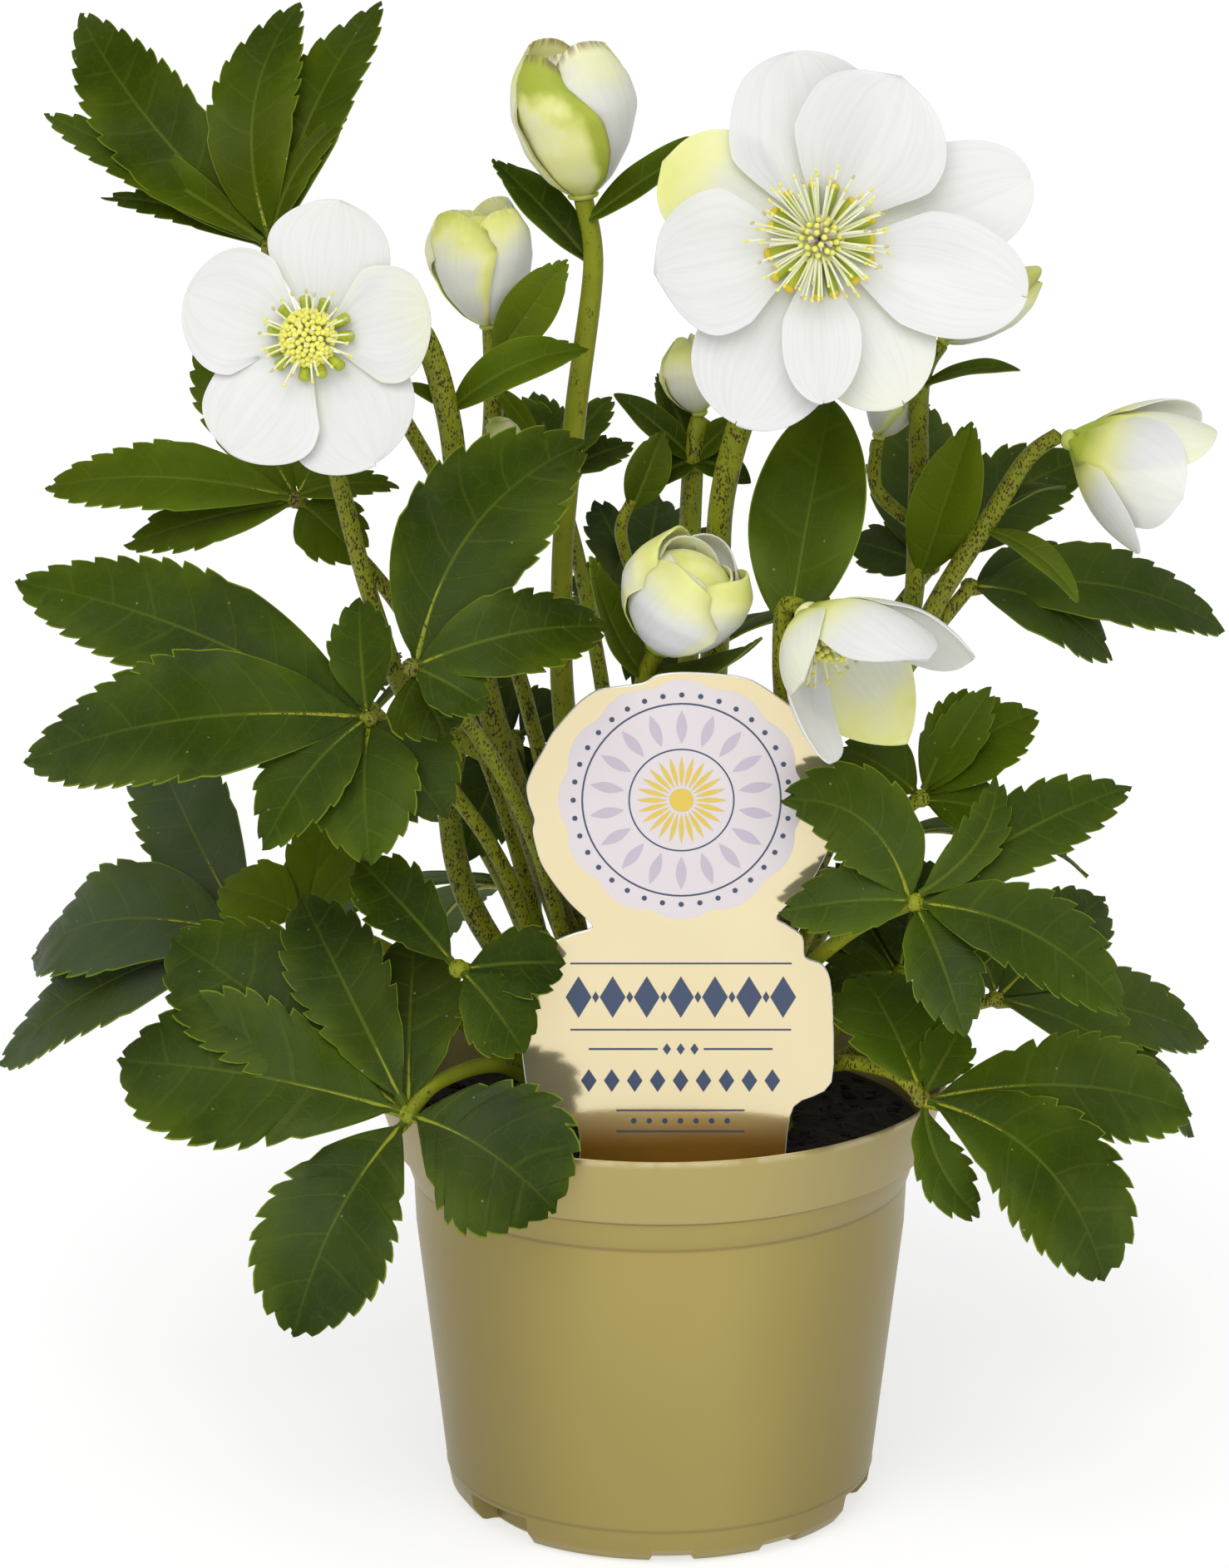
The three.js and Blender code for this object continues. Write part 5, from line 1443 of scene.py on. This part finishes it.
def make_soil():
    """The peat with crumbs and fibres strewn over it."""
    rng = random.Random("peat")
    form = Form()

    def strewn(reach, above):
        x, y = reach * math.sqrt(rng.random()) * circle(TURN * rng.random())
        return vec(x, y, soil_height(x, y) + above)

    lay_lathe(form, headings_round(150), soil_section)
    for _ in range(CRUMBS):
        place = strewn(56.5, 0)
        size = 0.45 + 1.5 * rng.random() ** 2.2
        lay_crumb(form, place + vec(0, 0, size * 0.25), size, rng)
    t = np.linspace(-1, 1, 6)[:, None]
    for _ in range(FIBRES):
        place = strewn(54, 1.1)
        ahead = around(TURN * rng.random(), vec(1, 0, 0), vec(0, 1, 0))
        sag = vec(0, 0, rng.uniform(0.5, 1.6))
        line = place + t * ahead * rng.uniform(2, 4.5) - t * t * sag
        lay_tube(form, line, 0.22, 5, (rng.random(), 0, 0), 1, seed=rng.random())
    return form.piece("soil_surface", [PEAT_LOOK, FIBRE_LOOK], "peat", "soil", crease=30)


# ---------------------------------------------------------------- tag


def closed_curve(points, per_span=4):
    """A smooth closed outline through the points."""
    points = np.asarray(points, dtype=float)
    t = (np.arange(per_span) / per_span)[:, None]
    shifted = [np.roll(points, -k, axis=0) for k in (-1, 0, 1, 2)]
    return np.concatenate([hermite(*near, t, pull=0.42) for near in zip(*shifted)])


def drawn_in(outline, inset):
    """The outline moved inward by a small inset."""
    ahead = unit(np.roll(outline, -1, axis=0) - np.roll(outline, 1, axis=0))
    inward = np.stack([-ahead[:, 1], ahead[:, 0]], axis=1)
    area = np.sum(outline[:, 0] * np.roll(outline[:, 1], -1) - np.roll(outline[:, 0], -1) * outline[:, 1])
    return outline + inward * inset * (1 if area > 0 else -1)


def ring_sectors(centre, outer, inner, sides=72):
    """The outlines of the short sectors that make up a flat ring."""
    rim = circle(TURN * np.arange(sides + 1) / sides)
    return [
        centre + np.array([a * outer, b * outer, b * inner, a * inner]) for a, b in zip(rim[:-1], rim[1:])
    ]


def disc(centre, radius, sides):
    return centre + radius * circle(TURN * np.arange(sides) / sides)


def bar(x0, x1, z, weight):
    low, high = z - weight / 2, z + weight / 2
    return np.array([[x0, low], [x1, low], [x1, high], [x0, high]])


def lozenge(centre, wide, tall):
    return centre + np.array([[wide, 0], [0, tall], [-wide, 0], [0, -tall]]) / 2


def sprig(centre, angle, inner, outer, wide):
    """A pointed oval that stands out from the centre between two radii."""
    t = np.linspace(0, 1, 9)
    out = circle(angle)
    beside = vec(-out[1], out[0])
    bend = np.sin(np.pi * t)[:, None] * wide / 2
    middle = centre + out * (inner + (outer - inner) * t)[:, None]
    return np.concatenate([middle - beside * bend, (middle + beside * bend)[-2:0:-1]])


# Where the tag's materials stand in its list
FOIL, EDGE, NAVY, PALE, YELLOW, LILAC = range(6)


def rosette():
    """The card's round print, from its back layer to its front one, each with its material."""
    centre, wide = vec(*ROSETTE), ROSETTE_RADIUS
    turn = TURN * np.arange(180) / 180
    scallops = 0.95 + 0.05 * np.abs(np.cos(12 * turn / 2))
    beads = centre + wide * 0.875 * circle(TURN * np.arange(36) / 36)
    rings = [
        *ring_sectors(centre, wide * 0.81, wide * 0.795),
        *(disc(bead, wide * 0.022, 16) for bead in beads),
        *ring_sectors(centre, wide * 0.43, wide * 0.417),
    ]

    def rays(count, shift, inner, outer, width):
        turns = TURN * (np.arange(count) + shift) / count
        return [sprig(centre, angle, wide * inner, wide * outer, wide * width) for angle in turns]

    return [
        ([centre + wide * scallops[:, None] * circle(turn)], PALE),
        (rings, NAVY),
        (rays(18, 0.5, 0.47, 0.75, 0.088), LILAC),
        (rays(24, 0, 0.11, 0.365, 0.038), YELLOW),
        ([disc(centre, wide * 0.097, 32)], YELLOW),
    ]


def panel():
    """The rows of lozenges, rules and dots below the rosette."""
    middle = ROSETTE[0]

    def lozenges(steps, pitch, z, wide, tall):
        return [lozenge(vec(middle + pitch * k, z), wide, tall) for k in steps]

    def rule(half, z):
        return bar(middle - half, middle + half, z, 0.35)

    return [
        *lozenges(range(-3, 4), 7.4, 131.4, 5.6, 9.4),
        *lozenges(np.arange(-2.5, 3), 7.4, 131.4, 1.5, 2.6),
        rule(24, 139),
        rule(24, 124),
        bar(middle - 20, middle - 5, 119.6, 0.4),
        bar(middle + 5, middle + 20, 119.6, 0.4),
        *lozenges((-1, 0, 1), 3, 119.6, 1.8, 2.6),
        *lozenges(range(-4, 5), 5, 112.4, 3.4, 5.2),
        rule(14, 105.6),
        *(disc(vec(middle + 3.4 * k, 103.2), 0.6, 14) for k in range(-3, 4)),
        rule(14, 100.8),
    ]


def make_tag():
    """A foil card with a bevelled edge and a generic print in thin raised layers."""
    form = Form()
    outline = closed_curve(TAG_OUTLINE)
    front, back = TAG_Y - TAG_THICKNESS / 2, TAG_Y + TAG_THICKNESS / 2
    layers = [(drawn_in(outline, 0.18), front), (outline, front + 0.15), (outline, back)]
    points = np.concatenate([np.insert(line, 1, y, axis=1) for line, y in layers])
    grid = np.arange(len(points)).reshape(3, -1)
    form.add(points, [grid[0][None], grid[2][None, ::-1]], spot=points[:, [0, 2, 1]] / 10)
    edge = np.concatenate([quads[:, ::-1] for quads in hoops(grid)]).tolist()
    form.faces += edge
    form.slots += [EDGE] * len(edge)
    for level, (outlines, slot) in enumerate([*rosette(), (panel(), NAVY)], start=1):
        near = front - INK_STEP * level
        for one in outlines:
            lay_prism(form, one, near, near + INK, slot)
    looks = [CARD_LOOK, CARD_EDGE_LOOK, PRINT_NAVY_LOOK, PRINT_PALE_LOOK, PRINT_YELLOW_LOOK, PRINT_LILAC_LOOK]
    return form.piece("tag_card", looks, "gold_card", "tag", crease=30)


# ---------------------------------------------------------------- camera, light and floor


def aim(obj, place, direction):
    obj.location = place
    obj.rotation_mode = "QUATERNION"
    obj.rotation_quaternion = Vector(direction).to_track_quat("-Z", "Y")


def make_camera():
    """Stands where the photographer stood: slightly above the plant, looking a little down at it."""
    pitch = math.radians(CAMERA["pitch"])
    ahead = vec(0, math.cos(pitch), -math.sin(pitch))
    data = bpy.data.cameras.new("camera")
    data.sensor_fit = "VERTICAL"
    data.lens = data.sensor_height * CAMERA["focal_pixels"] / PHOTO_HEIGHT
    data.clip_end = 50
    camera = add_object("camera", data)
    aim(camera, (vec(*CAMERA["target"]) - ahead * CAMERA["distance"]) * MM, ahead)
    bpy.context.scene.camera = camera


def make_light(name, place, width, strength):
    data = bpy.data.lights.new(name, "SUN")
    data.angle = math.radians(width)
    data.energy = strength
    aim(add_object(name, data), place, -Vector(place))


def make_studio():
    scene = bpy.context.scene
    scene.view_settings.view_transform = "Standard"
    world = bpy.data.worlds.new("studio")
    world.use_nodes = True
    background = world.node_tree.nodes["Background"]
    background.inputs["Color"].default_value = (1, 1, 1, 1)
    background.inputs["Strength"].default_value = WORLD_STRENGTH
    scene.world = world
    for light in LIGHTS:
        make_light(*light)


def make_floor():
    """A pale floor of 18 m by 18 m, just below the pot's foot."""
    ticks = np.linspace(-9, 9, 13)
    points = [(x, y, 0.0) for y in ticks for x in ticks]
    grid = np.arange(len(points)).reshape(len(ticks), len(ticks))
    mesh = bpy.data.meshes.new("floor")
    mesh.from_pydata(points, [], sheet_quads(grid).tolist())
    mesh.materials.append(floor_look())
    floor = add_object("floor", mesh)
    floor.location.z = -0.0005


# ---------------------------------------------------------------- assembly

LEAF_LOOK = leaf_look()
STALK_LOOK = stalk_look()
PETAL_LOOK = petal_look()
FILAMENT_LOOK = grain_look("filament", (0.86, 0.86, 0.70), (0.76, 0.78, 0.44), 600, 0.5)
ANTHER_LOOK = grain_look("anther", (0.84, 0.81, 0.20), (0.74, 0.72, 0.12), 1400, 0.7)
SPENT_LOOK = grain_look("spent_anther", (0.50, 0.40, 0.16), (0.62, 0.58, 0.30), 1400, 0.7)
NECTARY_LOOK = grain_look("nectary", (0.26, 0.34, 0.01), (0.46, 0.50, 0.03), 500, 0.4)
LIP_LOOK = grain_look("nectary_lip", (0.72, 0.46, 0.01), (0.66, 0.56, 0.03), 700, 0.45)
STYLE_LOOK = grain_look("style", (0.44, 0.30, 0.40), (0.66, 0.60, 0.58), 500, 0.5)
POT_LOOK = pot_look()
PEAT_LOOK = peat_look()
FIBRE_LOOK = grain_look("peat_fibre", (0.09, 0.055, 0.03), (0.03, 0.02, 0.012), 400, 0.9)
CARD_LOOK = card_look()
CARD_EDGE_LOOK = grain_look("card_edge", (0.80, 0.80, 0.78), (0.66, 0.66, 0.64), 300, 0.35, Metallic=0.5)
PRINT_NAVY_LOOK = grain_look("print_navy", (0.035, 0.055, 0.11), (0.05, 0.075, 0.14), 200, 0.35, 0.02)
PRINT_PALE_LOOK = grain_look("print_pale", (0.66, 0.61, 0.62), (0.60, 0.54, 0.57), 60, 0.4, 0.02)
PRINT_YELLOW_LOOK = grain_look("print_yellow", (0.68, 0.50, 0.08), (0.60, 0.42, 0.05), 200, 0.4, 0.02)
PRINT_LILAC_LOOK = grain_look("print_lilac", (0.50, 0.44, 0.52), (0.44, 0.38, 0.47), 200, 0.4, 0.02)

make_camera()
make_studio()
make_floor()
make_pot()
make_soil()
make_tag()
for name, spec in LEAVES.items():
    tone, flush, purple = LEAF_SHADES[name]
    leaf(name, **spec, tone=tone, flush=flush, purple=purple, toothed=float(name in COARSE_LEAVES))
for name, spec in BACK_LEAVES.items():
    fan_leaf(name, **spec)
for name, spec in STEMS.items():
    flower_stem(name, **spec, shades=STEM_SHADES[name])
for name, spec in BLOOMS.items():
    bloom_petals(name, spec["centre"], spec["axis"], spec["cup"], spec["petals"], FLUSH[name])
    if "stamens" in spec:
        bloom_heart(name, spec["centre"], spec["axis"], spec["stamens"])
for name, spec in BUDS.items():
    bud(name, **spec, shades=BUD_SHADES[name])
